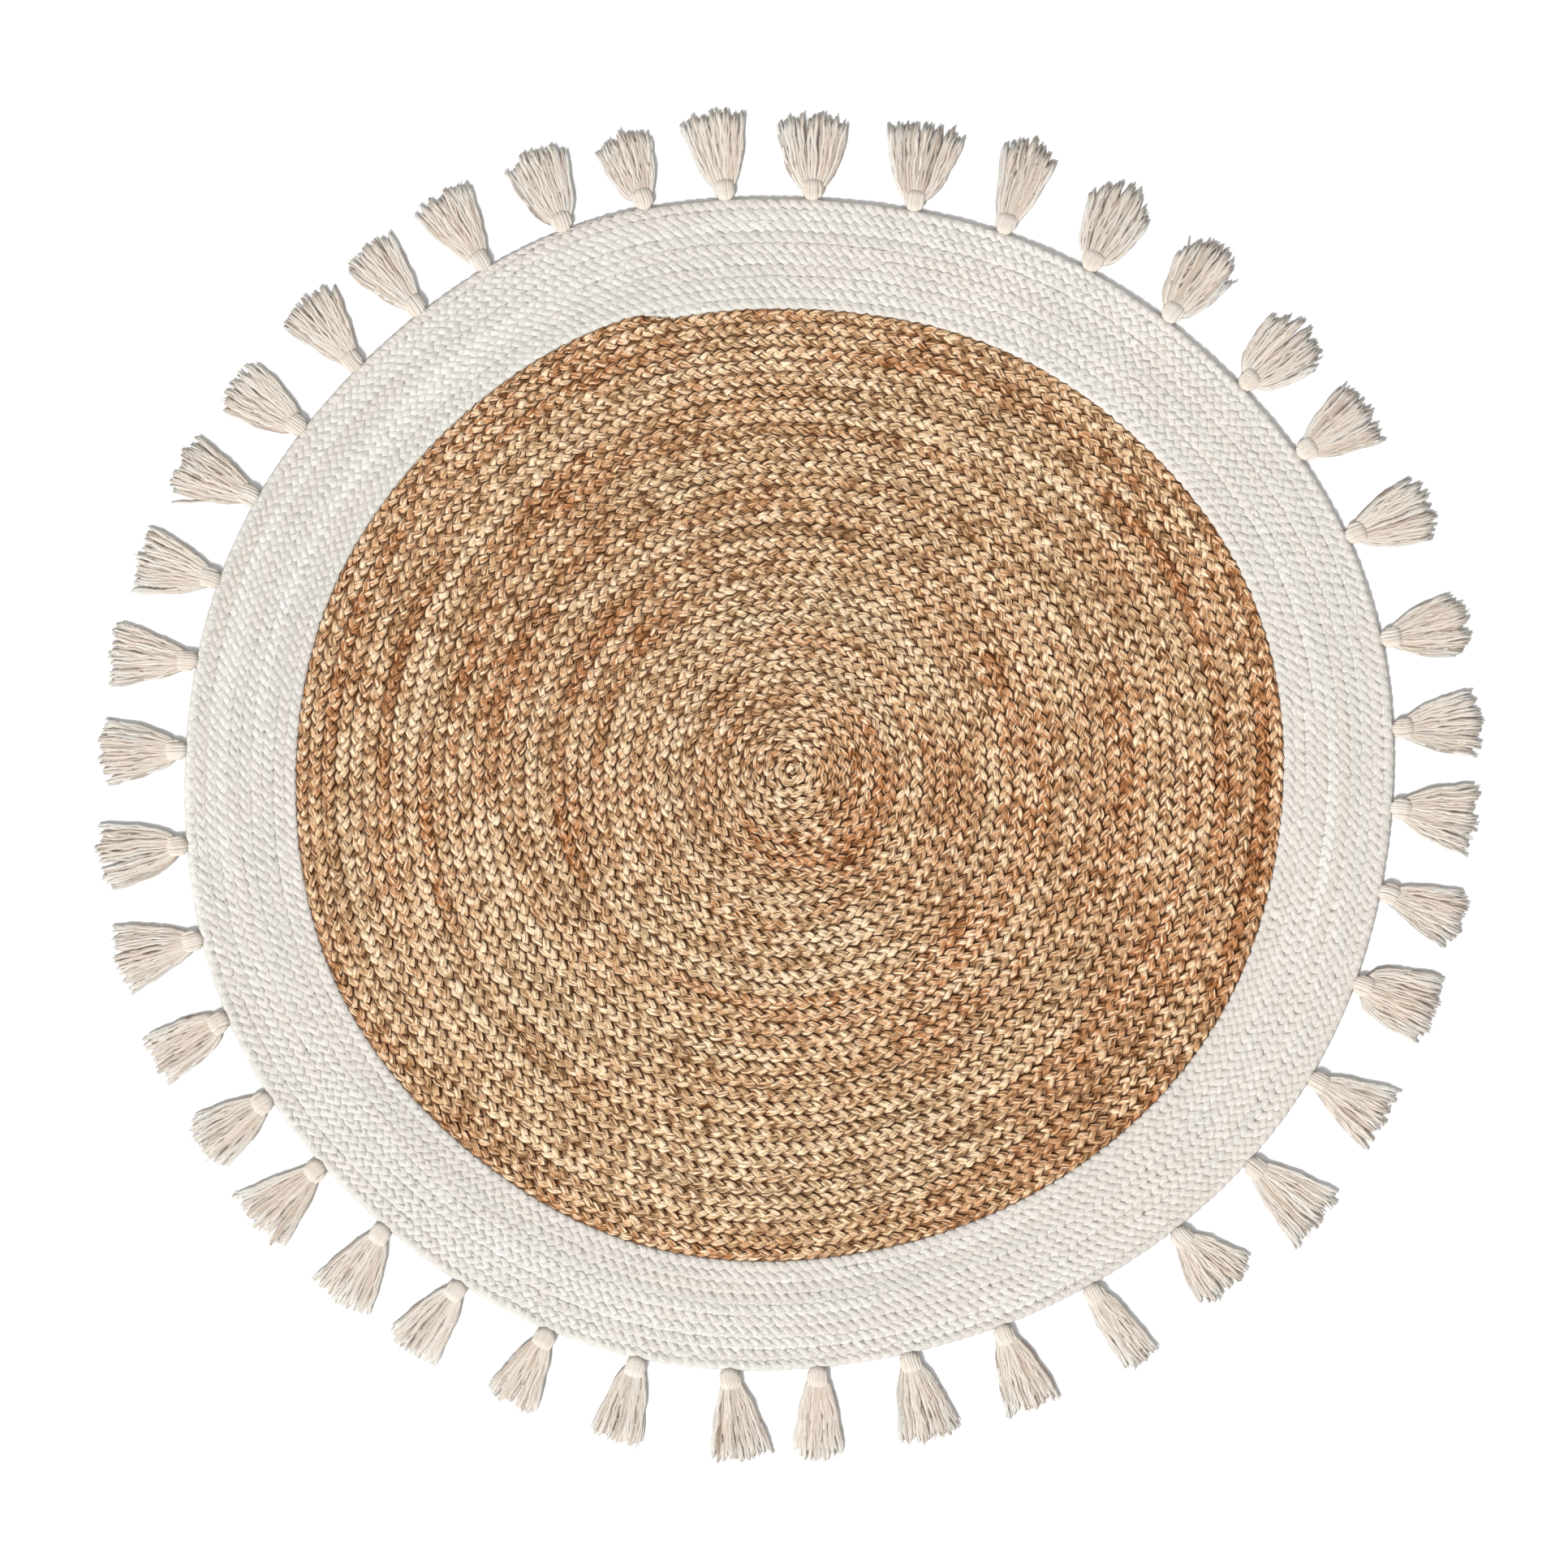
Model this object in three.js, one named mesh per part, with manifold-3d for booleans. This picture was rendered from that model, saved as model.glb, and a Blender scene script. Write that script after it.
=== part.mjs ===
// A round rug of flat plaited braid, coiled clockwise from its middle and sewn row to row.
// The field is natural jute, the border bleached white, and cotton tassels hang all round the rim.
// Millimetres, +Z up. The origin is the middle of the rug's outline, on the floor it lies on.
import * as THREE from "three";
import { mergeVertices } from "three/addons/utils/BufferGeometryUtils.js";
import Module from "manifold-3d";

// Mean radii of the jute field and of the whole rug without its tassels.
const JUTE_RADIUS = 488;
const RUG_RADIUS = 599;
// Rows of braid in the field and in the border. The coil is counted in turns, one for each row.
const JUTE_ROWS = 38;
const WHITE_ROWS = 10;
// Rows near the middle are narrower: the first by this much, the others by less, turn after turn.
const NARROWER = 3.2;
const NARROWER_TURNS = 10;
// Height of the braid at the crest of a row and in the seam between two rows.
const JUTE_CREST = 8;
const JUTE_SEAM = 6.2;
const WHITE_CREST = 7.5;
const WHITE_SEAM = 5.8;
// Both braids end at this bearing, in degrees. The jute one tapers over this share of a turn.
const END_BEARING = 104;
const TAPER = 0.0125;
// The white one tapers over a longer share, while the rows under it swing out, so the rim stays even.
const RIM_TAPER = 0.06;
// Clearance between the jute braid and the white one sewn round it.
const JOINT_GAP = 0.35;
// The rim is a rounded edge: where its side starts and stops, and how far the underside is drawn in.
const RIM_TOP = 4.6;
const RIM_BOTTOM = 2.2;
const RIM_TUCK = 1.8;
// How far the coil is out of round, as shares of its radius: so many waves, each with a crest there.
const OUT_OF_ROUND = [
  { waves: 2, share: 0.017, crestBearing: 9 },
  { waves: 3, share: 0.005, crestBearing: 7 },
  { waves: 4, share: 0.0025, crestBearing: 39 },
  { waves: 5, share: 0.0025, crestBearing: 38 },
  { waves: 6, share: 0.0014, crestBearing: 19 },
  { waves: 7, share: 0.0018, crestBearing: 8 },
  { waves: 8, share: 0.0022, crestBearing: 22 },
];
// The rows aren't centred: how far their middle lies from the outline's, at three radii.
const OFF_CENTRE = [
  { radius: 0, x: 6, y: 11.5 },
  { radius: JUTE_RADIUS, x: 4, y: 1.5 },
  { radius: RUG_RADIUS, x: 0, y: 0 },
];
// Facets in one turn of the coil: few near the middle, more further out.
const FACETS = [
  { fromTurn: 0, count: 12 },
  { fromTurn: 3, count: 20 },
  { fromTurn: 10, count: 40 },
];
// Radius of the triangle that fills the middle of the underside.
const UNDERSIDE_MIDDLE = 120;

// The tassels, clockwise from the top. Bearing of the root and lean from straight out are in degrees,
// counter-clockwise. Reach is from the rim to the longest tips, and fan is the width across the tips.
// Open is the width near the middle as a share of the fan, and rounded is how much shorter the outer
// locks are than the middle one.
const TASSEL_COLUMNS = ["bearing", "lean", "reach", "fan", "open", "rounded"];
const TASSEL_ROWS = [
  [96, 3, 87, 74, 0.65, 0.1],
  [87.5, 2, 82, 82, 0.69, 0.08],
  [77.5, 3, 84, 85, 0.69, 0.05],
  [68.5, 2, 94, 63, 0.65, 0.16],
  [59.5, 3, 93, 77, 0.74, 0.3],
  [50.5, 4, 90, 71, 0.73, 0.26],
  [41, -1, 88, 82, 0.74, 0.25],
  [32.5, 2, 82, 77, 0.64, 0.09],
  [23.5, -2, 88, 75, 0.67, 0.12],
  [13.5, -2, 87, 75, 0.65, 0.18],
  [5, 0, 86, 77, 0.62, 0.12],
  [357.5, -6, 84, 82, 0.65, 0.09],
  [349.5, -10, 86, 67, 0.6, 0.08],
  [340.5, -1, 84, 75, 0.81, 0.05],
  [330.5, -1, 84, 76, 0.57, 0.02],
  [320.5, 0, 91, 72, 0.64, 0.03],
  [311, 3, 79, 81, 0.59, 0.11],
  [301, 5, 91, 42, 0.81, 0.04],
  [291.5, 1, 87, 63, 0.65, 0.03],
  [282, 4, 88, 69, 0.64, 0.07],
  [273, -2, 90, 54, 0.7, 0.08],
  [264.5, 14, 90, 69, 0.58, 0.08],
  [255.5, -1, 84, 54, 0.74, 0.03],
  [246.5, -5, 81, 60, 0.63, 0.02],
  [237, -5, 85, 61, 0.69, 0.08],
  [228, 10, 88, 75, 0.61, 0.09],
  [219.5, 3, 89, 78, 0.56, 0.07],
  [211.5, 5, 85, 69, 0.67, 0.12],
  [203, 8, 83, 58, 0.78, 0.05],
  [195, -1, 87, 76, 0.62, 0.08],
  [186, 3, 87, 76, 0.7, 0.09],
  [177, 4, 85, 71, 0.69, 0.09],
  [168.5, 6, 84, 69, 0.62, 0.03],
  [160.5, 4, 83, 75, 0.63, 0.05],
  [152, 2, 85, 69, 0.64, 0.06],
  [144, 1, 85, 68, 0.69, 0.12],
  [136, -7, 88, 75, 0.56, 0.13],
  [128, 3, 85, 66, 0.62, 0.09],
  [120.5, 2, 85, 71, 0.62, 0.02],
  [112, 1, 85, 71, 0.72, 0.14],
  [104, 5, 77, 63, 0.74, 0.16],
];
// The knotted head of a tassel and the shoulder of its skirt: distance out from the rim, width and height.
const HEAD_SECTIONS = [
  { out: 0.5, width: 13, height: 7 },
  { out: 5, width: 16, height: 9.5 },
  { out: 13, width: 18, height: 9.5 },
  { out: 21, width: 30, height: 7.5 },
];
// A leaning tassel bends between these two distances from the rim.
const BEND = { from: 4, to: 16 };
// The locks of a skirt, from the root out: their width, as a share of their place in the fan, and height.
const LOCKS = 7;
const LOCK_ROOT = 18;
const LOCK_SECTIONS = [
  { along: 0, width: 0.18, height: 5 },
  { along: 0.3, width: 0.52, height: 7 },
  { along: 1, width: 0.82, height: 4.5 },
];
const FANNED_AT_ROOT = 0.28;
const LOCK_UNEVEN = 0.03;

const WHOLE_TURN = 2 * Math.PI;
const RIM_TURN = JUTE_ROWS + WHITE_ROWS;
const whitePitch = (RUG_RADIUS - JUTE_RADIUS) / WHITE_ROWS;
const jutePitch = (JUTE_RADIUS - whitePitch / 2 + narrowedBy(JUTE_ROWS)) / JUTE_ROWS;

const radians = THREE.MathUtils.degToRad;

// How much less wide the first rows are, all together, than as many rows far from the middle.
function narrowedBy(turns) {
  return NARROWER * NARROWER_TURNS * (1 - Math.exp(-turns / NARROWER_TURNS));
}

// The coil runs clockwise, seen from above. Whole turns lie at the bearing where the braids end.
function bearingAt(turn) {
  return radians(END_BEARING) - WHOLE_TURN * turn;
}

function turnsPastEnd(bearing) {
  return THREE.MathUtils.euclideanModulo(radians(END_BEARING) - bearing, WHOLE_TURN) / WHOLE_TURN;
}

// How far the white braid's end is tucked in, from nothing to all of it at the end of its last turn.
function tuckedIn(shareOfTurn) {
  return THREE.MathUtils.smoothstep(shareOfTurn, 1 - RIM_TAPER, 1);
}

// Radius of the seam at a turn of the coil, before it is pulled out of round. The white rows are a
// little wider at first and narrower later on, more so towards the rim, which makes the rim a circle.
function seamRadius(turn) {
  const juteTurns = Math.min(turn, JUTE_ROWS);
  const whiteTurns = turn - juteTurns;
  const drawnOut = 0.5 - (turn % 1) + tuckedIn(turn % 1);
  const juteWidth = jutePitch * juteTurns - narrowedBy(juteTurns);
  return juteWidth + whitePitch * whiteTurns * (1 + drawnOut / WHITE_ROWS);
}

// Radius of the last row's outer edge, which meets its inner seam where the braid ends.
function rimRadius(turn) {
  const tucked = tuckedIn(turn - RIM_TURN);
  return THREE.MathUtils.lerp(seamRadius(turn), seamRadius(turn - 1), tucked);
}

function crestRadius(turn) {
  const outer = turn + 1 > RIM_TURN ? rimRadius(turn + 1) : seamRadius(turn + 1);
  return (seamRadius(turn) + outer) / 2;
}

function offCentre(radius) {
  const { lerp, clamp } = THREE.MathUtils;
  const next = Math.max(1, OFF_CENTRE.findIndex((place) => place.radius > radius));
  const [inner, outer] = radius < RUG_RADIUS ? OFF_CENTRE.slice(next - 1, next + 1) : OFF_CENTRE.slice(-2);
  const share = clamp((radius - inner.radius) / (outer.radius - inner.radius), 0, 1);
  return { x: lerp(inner.x, outer.x, share), y: lerp(inner.y, outer.y, share) };
}

// The place on the real, slightly uneven coil.
function coilPoint(radius, bearing, z) {
  const growth = Math.min(1, radius / JUTE_RADIUS);
  const pull = OUT_OF_ROUND.reduce(
    (sum, { waves, share, crestBearing }) =>
      sum + growth * share * Math.cos(waves * (bearing - radians(crestBearing))),
    1,
  );
  const shift = offCentre(radius);
  return new THREE.Vector3(
    shift.x + radius * pull * Math.cos(bearing),
    shift.y + radius * pull * Math.sin(bearing),
    z,
  );
}

// Places from one turn to another, a facet apart, with both ends.
function placesBetween(from, to) {
  const nextPlace = (turn) => {
    const { count } = FACETS.filter(({ fromTurn }) => turn >= fromTurn).at(-1);
    return (Math.round(turn * count) + 1) / count;
  };
  const places = [from];
  while (nextPlace(places.at(-1)) < to - TAPER / 2) places.push(nextPlace(places.at(-1)));
  return [...places, to];
}

// A line along the coil: points, each with the turn that matches it to the line beside it.
function coilLine(places, z, { radiusAt = seamRadius, inset = 0 } = {}) {
  return places.map((turn) => ({
    turn,
    point: coilPoint(radiusAt(turn) - inset, bearingAt(turn), z),
  }));
}

// A whole turn whose end tapers back to where it started, as a closed loop.
function taperedLoop(turn, z, inset = 0) {
  const line = coilLine(placesBetween(turn, turn + 1 - TAPER), z, { inset });
  return [...line, { turn: turn + 1, point: line[0].point }];
}

function shifted(line, turns) {
  return line.map(({ turn, point }) => ({ turn: turn + turns, point }));
}

// The same loop lower down, drawn in towards the middle.
function lowered(loop, z, inset = 0) {
  return loop.map(({ turn, point }) => {
    const kept = 1 - inset / Math.hypot(point.x, point.y);
    return { turn, point: new THREE.Vector3(point.x * kept, point.y * kept, z) };
  });
}

// Triangles that join two lines, walked side by side. They face up when the second one is further out.
function strip(inner, outer) {
  const triangles = [];
  let i = 0;
  let j = 0;
  while (i < inner.length - 1 || j < outer.length - 1) {
    const innerIsDone = i === inner.length - 1;
    const outerIsDone = j === outer.length - 1;
    if (outerIsDone || (!innerIsDone && inner[i + 1].turn <= outer[j + 1].turn)) {
      triangles.push([inner[i].point, inner[i + 1].point, outer[j].point]);
      i += 1;
    } else {
      triangles.push([inner[i].point, outer[j + 1].point, outer[j].point]);
      j += 1;
    }
  }
  return triangles;
}

// One closed surface from its triangles, without those that have shrunk to a line.
function closedGeometry(triangles) {
  const whole = triangles.filter(([a, b, c]) => !a.equals(b) && !b.equals(c) && !c.equals(a));
  return mergeVertices(new THREE.BufferGeometry().setFromPoints(whole.flat()));
}

// The flat underside inside a loop.
function underside(loop) {
  const corners = [0, 1 / 3, 2 / 3, 1].map((share) => {
    const turn = loop[0].turn + share;
    const bearing = bearingAt(share === 1 ? loop[0].turn : turn);
    const point = new THREE.Vector3(
      UNDERSIDE_MIDDLE * Math.cos(bearing),
      UNDERSIDE_MIDDLE * Math.sin(bearing),
      0,
    );
    return { turn, point };
  });
  const [a, b, c] = corners.map(({ point }) => point);
  return [...strip(loop, corners), [a, b, c]];
}

function juteField() {
  const edge = taperedLoop(JUTE_ROWS, JUTE_SEAM, JOINT_GAP);
  const end = edge[0].point;
  const seam = (row) => {
    if (row === JUTE_ROWS) return edge;
    const line = coilLine(placesBetween(row, row + 1), JUTE_SEAM);
    if (row === JUTE_ROWS - 1) line.at(-1).point = end;
    return line;
  };
  const crest = (row) => {
    const isLast = row === JUTE_ROWS - 1;
    const places = placesBetween(row, isLast ? row + 1 - TAPER : row + 1);
    const line = coilLine(places, JUTE_CREST, { radiusAt: crestRadius });
    return isLast ? [...line, { turn: row + 1, point: end }] : line;
  };
  // The first row starts at the middle with a small step up, and the seam inside it is filled flat.
  const firstSeam = seam(0).map(({ point }) => point);
  const middle = firstSeam[0];
  const triangles = [[middle, crest(0)[0].point, firstSeam.at(-1)]];
  for (let i = 1; i < firstSeam.length - 1; i += 1) {
    triangles.push([middle, firstSeam[i + 1], firstSeam[i]]);
  }
  for (let row = 0; row < JUTE_ROWS; row += 1) {
    triangles.push(...strip(seam(row), crest(row)));
    triangles.push(...strip(crest(row), shifted(seam(row + 1), -1)));
  }
  const foot = lowered(edge, 0);
  return closedGeometry([...triangles, ...strip(edge, foot), ...underside(foot)]);
}

function rimLoop() {
  const line = coilLine(placesBetween(RIM_TURN, RIM_TURN + 1), RIM_TOP, { radiusAt: rimRadius });
  return [...line.slice(0, -1), { turn: RIM_TURN + 1, point: line[0].point }];
}

function whiteBorder() {
  const joint = taperedLoop(JUTE_ROWS, WHITE_SEAM);
  const rim = rimLoop();
  // The braid starts as a point in the crook of the jute's taper, and ends as one on the rim.
  const start = { turn: JUTE_ROWS - TAPER, point: joint.at(-2).point };
  const end = { turn: RIM_TURN, point: rim[0].point };
  const seams = coilLine(placesBetween(JUTE_ROWS + 1, RIM_TURN), WHITE_SEAM).slice(0, -1);
  const crest = coilLine(placesBetween(JUTE_ROWS, RIM_TURN - TAPER), WHITE_CREST, {
    radiusAt: crestRadius,
  });
  const innerSeam = [start, ...joint.slice(0, -1), ...seams, end];
  const outerSeam = [start, ...shifted([...seams, ...rim], -1)];
  const rimSide = lowered(rim, RIM_BOTTOM);
  const rimFoot = lowered(rim, 0, RIM_TUCK);
  const jointFoot = lowered(joint, 0);
  return closedGeometry([
    ...strip(innerSeam, [start, ...crest, end]),
    ...strip([start, ...crest, end], outerSeam),
    ...strip(rim, rimSide),
    ...strip(rimSide, rimFoot),
    ...strip(rimFoot, shifted(jointFoot, WHITE_ROWS)),
    ...strip(jointFoot, joint),
  ]);
}

// A closed solid through sections, each a ring of as many points, listed from the rim out.
function loft(rings) {
  const triangles = [];
  rings.slice(1).forEach((ring, k) => {
    const previous = rings[k];
    ring.forEach((point, i) => {
      const next = (i + 1) % ring.length;
      triangles.push([previous[i], ring[next], point], [previous[i], previous[next], ring[next]]);
    });
  });
  const [first, last] = [rings[0], rings.at(-1)];
  for (let i = 1; i < first.length - 1; i += 1) {
    triangles.push([first[0], first[i + 1], first[i]], [last[0], last[i], last[i + 1]]);
  }
  return closedGeometry(triangles);
}

// A point of a tassel that points along +X from its root, bent over by its lean.
function leaningPoint(out, side, up, lean) {
  const bend = lean * THREE.MathUtils.clamp((out - BEND.from) / (BEND.to - BEND.from), 0, 1);
  const reach = out - BEND.from;
  return new THREE.Vector3(
    BEND.from + reach * Math.cos(bend) - side * Math.sin(bend),
    reach * Math.sin(bend) + side * Math.cos(bend),
    up,
  );
}

// The head: flat on the floor, with sloping sides and a broad back.
function headGeometry(lean) {
  const outline = [
    [0.5, 0],
    [0.3, 1],
    [-0.3, 1],
    [-0.5, 0],
  ];
  const ring = ({ out, width, height }) =>
    outline.map(([side, up]) => leaningPoint(out, side * width, up * height, lean));
  return loft(HEAD_SECTIONS.map(ring));
}

// One three-sided lock of yarn, lying level on the floor at its place in the fan.
function lockGeometry(index, number, { reach, fan, open, rounded, lean }) {
  const place = (2 * index) / (LOCKS - 1) - 1;
  const uneven = LOCK_UNEVEN * Math.sin(2.4 * index + 1.7 * number);
  const length = reach * (1 - rounded * place ** 2 + uneven) - LOCK_ROOT;
  const slot = fan / LOCKS;
  const fanned = [FANNED_AT_ROOT, open, 1];
  const ring = ({ along, width, height }, k) => {
    const out = LOCK_ROOT + along * length;
    const middle = (place * fanned[k] * (fan - slot)) / 2;
    const half = (width * slot) / 2;
    return [
      leaningPoint(out, middle + half, 0, lean),
      leaningPoint(out, middle, height, lean),
      leaningPoint(out, middle - half, 0, lean),
    ];
  };
  return loft(LOCK_SECTIONS.map(ring));
}

const wasm = await Module();
wasm.setup();

function toSolid(geometry) {
  return new wasm.Manifold(
    new wasm.Mesh({
      numProp: 3,
      vertProperties: geometry.attributes.position.array,
      triVerts: new Uint32Array(geometry.index.array),
    }),
  );
}

function toGeometry(solid) {
  const { numProp, vertProperties, triVerts } = solid.getMesh();
  const geometry = new THREE.BufferGeometry();
  const buffer = new THREE.InterleavedBuffer(vertProperties, numProp);
  geometry.setAttribute("position", new THREE.InterleavedBufferAttribute(buffer, 3, 0));
  geometry.setIndex(new THREE.BufferAttribute(triVerts, 1));
  return geometry;
}

function tasselGeometry(number, tassel) {
  let solid = toSolid(headGeometry(tassel.lean));
  for (let index = 0; index < LOCKS; index += 1) {
    solid = solid.add(toSolid(lockGeometry(index, number, tassel)));
  }
  return toGeometry(solid);
}

// Where a bearing meets the rim, and the bearing that faces straight out of the facet there.
function rimPlace(bearing) {
  const rim = rimLoop();
  const turn = RIM_TURN + turnsPastEnd(bearing);
  const next = rim.findIndex((place) => place.turn > turn);
  const [from, to] = [rim[next - 1], rim[next]];
  const point = from.point.clone().lerp(to.point, (turn - from.turn) / (to.turn - from.turn));
  const along = to.point.clone().sub(from.point);
  return { point, outward: Math.atan2(along.x, -along.y) };
}

const jute = new THREE.MeshStandardMaterial({ color: 0xc39a6b, roughness: 0.9, metalness: 0 });
const bleachedJute = new THREE.MeshStandardMaterial({ color: 0xe9e4dc, roughness: 0.9, metalness: 0 });
const cotton = new THREE.MeshStandardMaterial({ color: 0xded2c3, roughness: 0.95, metalness: 0 });

function namedMesh(name, geometry, material) {
  const mesh = new THREE.Mesh(geometry, material);
  mesh.name = name;
  return mesh;
}

function tasselMesh(row, index) {
  const tassel = Object.fromEntries(TASSEL_COLUMNS.map((column, k) => [column, row[k]]));
  const { bearing, lean } = tassel;
  const number = index + 1;
  const { point, outward } = rimPlace(radians(bearing));
  const fullLean = Math.atan2(
    Math.sin(radians(bearing + lean) - outward),
    Math.cos(radians(bearing + lean) - outward),
  );
  const geometry = tasselGeometry(number, { ...tassel, lean: fullLean });
  const mesh = namedMesh(`tassel_${String(number).padStart(2, "0")}`, geometry, cotton);
  mesh.position.set(point.x, point.y, 0);
  mesh.rotation.z = outward;
  return mesh;
}

const rug = new THREE.Group();
rug.add(namedMesh("jute_field", juteField(), jute));
rug.add(namedMesh("white_border", whiteBorder(), bleachedJute));
rug.add(...TASSEL_ROWS.map(tasselMesh));

export default rug;
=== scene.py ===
from math import cos, pi, radians, sin, tau

import bpy
import numpy as np
from bpy.props import FloatProperty, FloatVectorProperty, IntProperty, PointerProperty
from bpy.types import Operator, Panel, PropertyGroup
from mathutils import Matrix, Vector


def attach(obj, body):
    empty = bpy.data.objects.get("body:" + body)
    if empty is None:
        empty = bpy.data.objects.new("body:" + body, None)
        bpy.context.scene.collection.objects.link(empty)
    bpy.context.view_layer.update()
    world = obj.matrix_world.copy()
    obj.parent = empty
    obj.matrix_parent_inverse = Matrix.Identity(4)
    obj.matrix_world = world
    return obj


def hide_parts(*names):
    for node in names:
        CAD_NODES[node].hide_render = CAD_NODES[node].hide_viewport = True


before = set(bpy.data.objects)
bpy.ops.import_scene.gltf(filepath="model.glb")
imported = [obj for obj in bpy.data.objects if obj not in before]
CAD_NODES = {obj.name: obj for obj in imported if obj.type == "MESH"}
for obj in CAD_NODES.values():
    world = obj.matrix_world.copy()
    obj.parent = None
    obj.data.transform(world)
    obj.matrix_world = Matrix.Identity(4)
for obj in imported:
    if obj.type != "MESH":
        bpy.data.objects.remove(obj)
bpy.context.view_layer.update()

bl_info = {
    "name": "Round plaited rug",
    "version": (1, 0, 0),
    "blender": (4, 5, 0),
    "location": "View3D > Sidebar > Rug",
    "description": "Plaits, coils and fringes a round jute rug with a bleached border and cotton tassels",
    "category": "Add Mesh",
}

# The imported model's tassel nodes, and the body that the added pieces ride on.
TASSEL_NODES = sorted(name for name in CAD_NODES if name.startswith("tassel_"))
BODY = "root"


def table(columns, *rows):
    """Rows of values as dictionaries, by the names of their columns."""
    return [dict(zip(columns.split(), row)) for row in rows]


# Slow waves that pull the coil out of round: how many go round it, how strong each is as a share of the
# radius, and where one has its crest, in degrees.
OUT_OF_ROUND = table(
    "waves strength crest",
    (2, 0.017, 9),
    (3, 0.005, 7),
    (4, 0.0025, 39),
    (5, 0.0025, 38),
    (6, 0.0014, 19),
    (7, 0.0018, 8),
    (8, 0.0022, 22),
)

# Slow waves of warmth round the jute, given the same way: warmer at the right, and paler both ways along
# a line from the lower left to the upper right, which is a painted sheen where the rows lie across the key
# light.
SLOW_WARMTH_AND_SHEEN = table("waves strength crest", (1, 0.25, 0), (2, 0.4, 154))

# Places where the jute is redder or paler over several rows: bearing in degrees, distance from the
# middle, how wide across the rows and how long along them, and how red (paler where it is negative).
STAINS = table(
    "bearing radius width length warmth",
    (0, 0.0, 0.030, 0.030, -0.7),
    (18, 0.086, 0.022, 0.070, 1.3),
    (105, 0.075, 0.020, 0.060, 0.6),
    (265, 0.070, 0.022, 0.060, 0.7),
    (-40, 0.110, 0.022, 0.060, 0.9),
    (170, 0.083, 0.018, 0.060, 0.8),
    (84, 0.185, 0.035, 0.140, -0.7),
    (262, 0.165, 0.030, 0.120, -0.5),
    (16, 0.243, 0.020, 0.060, 0.7),
    (-5, 0.233, 0.030, 0.070, 1.5),
    (-43, 0.225, 0.035, 0.060, 1.2),
    (149, 0.238, 0.030, 0.070, 0.9),
    (194, 0.222, 0.025, 0.050, 0.8),
    (102, 0.282, 0.016, 0.070, 0.6),
    (250, 0.262, 0.030, 0.100, -0.6),
    (162, 0.337, 0.035, 0.080, -0.6),
    (211, 0.355, 0.050, 0.110, -0.8),
    (-55, 0.355, 0.030, 0.080, -0.6),
    (268, 0.399, 0.050, 0.140, -0.8),
    (33, 0.396, 0.030, 0.080, 0.8),
    (-2, 0.425, 0.025, 0.060, 0.9),
    (-25, 0.400, 0.030, 0.050, 1.0),
    (-48, 0.415, 0.035, 0.050, 0.8),
)

# Arcs of redder and darker jute: how wide they are across the rows, how many lie round a ring, and how
# strongly they change the warmth and the tone. Redder jute is darker by a share of its warmth.
ARC_WIDTH = 0.014
ARCS_ROUND = 11
ARC_WARMTH = 0.5
ARC_TONE = 0.3
REDDER_IS_DARKER = 0.3

# The last rows of jute are warmer: how much, in how many rows, and over how many it sets in.
LAST_ROWS_WARMTH = 0.6
LAST_WARM_ROWS = 4
LAST_ROWS_BLEND = 3

# The border is warmer towards one bearing, in degrees, and cooler across from it: how much, and as which
# power of the cosine.
WHITE_WARMTH = 0.7
WHITE_WARM_BEARING = -35
WHITE_WARM_POWER = 3

# Smooth random changes along a strand: what they change, the number that their draws start from, whether
# a braid's three strands share them, how far apart their random heights are, in repeats and in metres,
# and how large they are. "lie" is in repeats, "lift" in thicknesses and "swing" in half rows. "width",
# "slant" and "bounce" are shares of the width, the swing and the lift.
CHANGES = table(
    "what draw shared repeats metres amount",
    ("lie", 0, True, 2.3, 0, 0.05),
    ("lie", 0, False, 0.4, 0, 0.016),
    ("slant", 1, False, 0.35, 0, 0.06),
    ("swing", 2, False, 0.5, 0, 0.03),
    ("swing", 3, True, 0, 0.8, 0.03),
    ("bounce", 4, False, 0.35, 0, 0.12),
    ("lift", 5, False, 0.4, 0, 0.025),
    ("width", 6, False, 0.3, 0, 0.08),
    ("tone", 7, False, 0.25, 0, 0.2),
    ("tone", 8, False, 0, 0.12, 0.15),
    ("tone", 9, True, 0, 0.24, 0.3),
    ("warmth", 11, False, 0, 0.07, 0.3),
    ("warmth", 12, True, 0, 0.24, 0.5),
)
ARC_WARMTH_DRAW = 13
ARC_TONE_DRAW = 14

# A strand's cross-section seen from its end, as shares of its half width and half height.
STRAND_SECTION = ((1.0, -0.15), (0.52, 0.9), (-0.52, 0.9), (-1.0, -0.15), (0.0, -1.0))
RINGS_PER_REPEAT = 10
STRANDS = 3

# The inner layer of each braid, coloured as painted shade: its underside and top over the floor, the shares
# of the way across it where it has a ring, how wavy it is as a share of its thickness, how far in from the
# rim it ends, and what its palest parts have of the jute's colour, darkened as painted shade.
JUTE_LAYER = (0.0030, 0.0042)
WHITE_LAYER = (0.0028, 0.0038)
LAYER_RINGS = (0, 0.2, 0.4, 0.6, 0.8, 0.95, 1.0)
LAYER_WAVE = 0.12
LAYER_SPOTS = 240
RIM_INSET = 0.0035
JUTE_SHADE = 0.6


# Sizes and colours


def number_prop(name, description, default, **kind):
    return FloatProperty(name=name, description=description, default=default, **kind)


def length_prop(name, description, default):
    return number_prop(name, description, default, unit="LENGTH")


def share_prop(name, description, default):
    return number_prop(name, description, default, subtype="FACTOR")


def angle_prop(name, description, degrees):
    return number_prop(name, description, radians(degrees), subtype="ANGLE")


def colour_prop(name, description, default):
    return FloatVectorProperty(
        name=name, description=description, default=default, subtype="COLOR", min=0.0, max=1.0
    )


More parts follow.
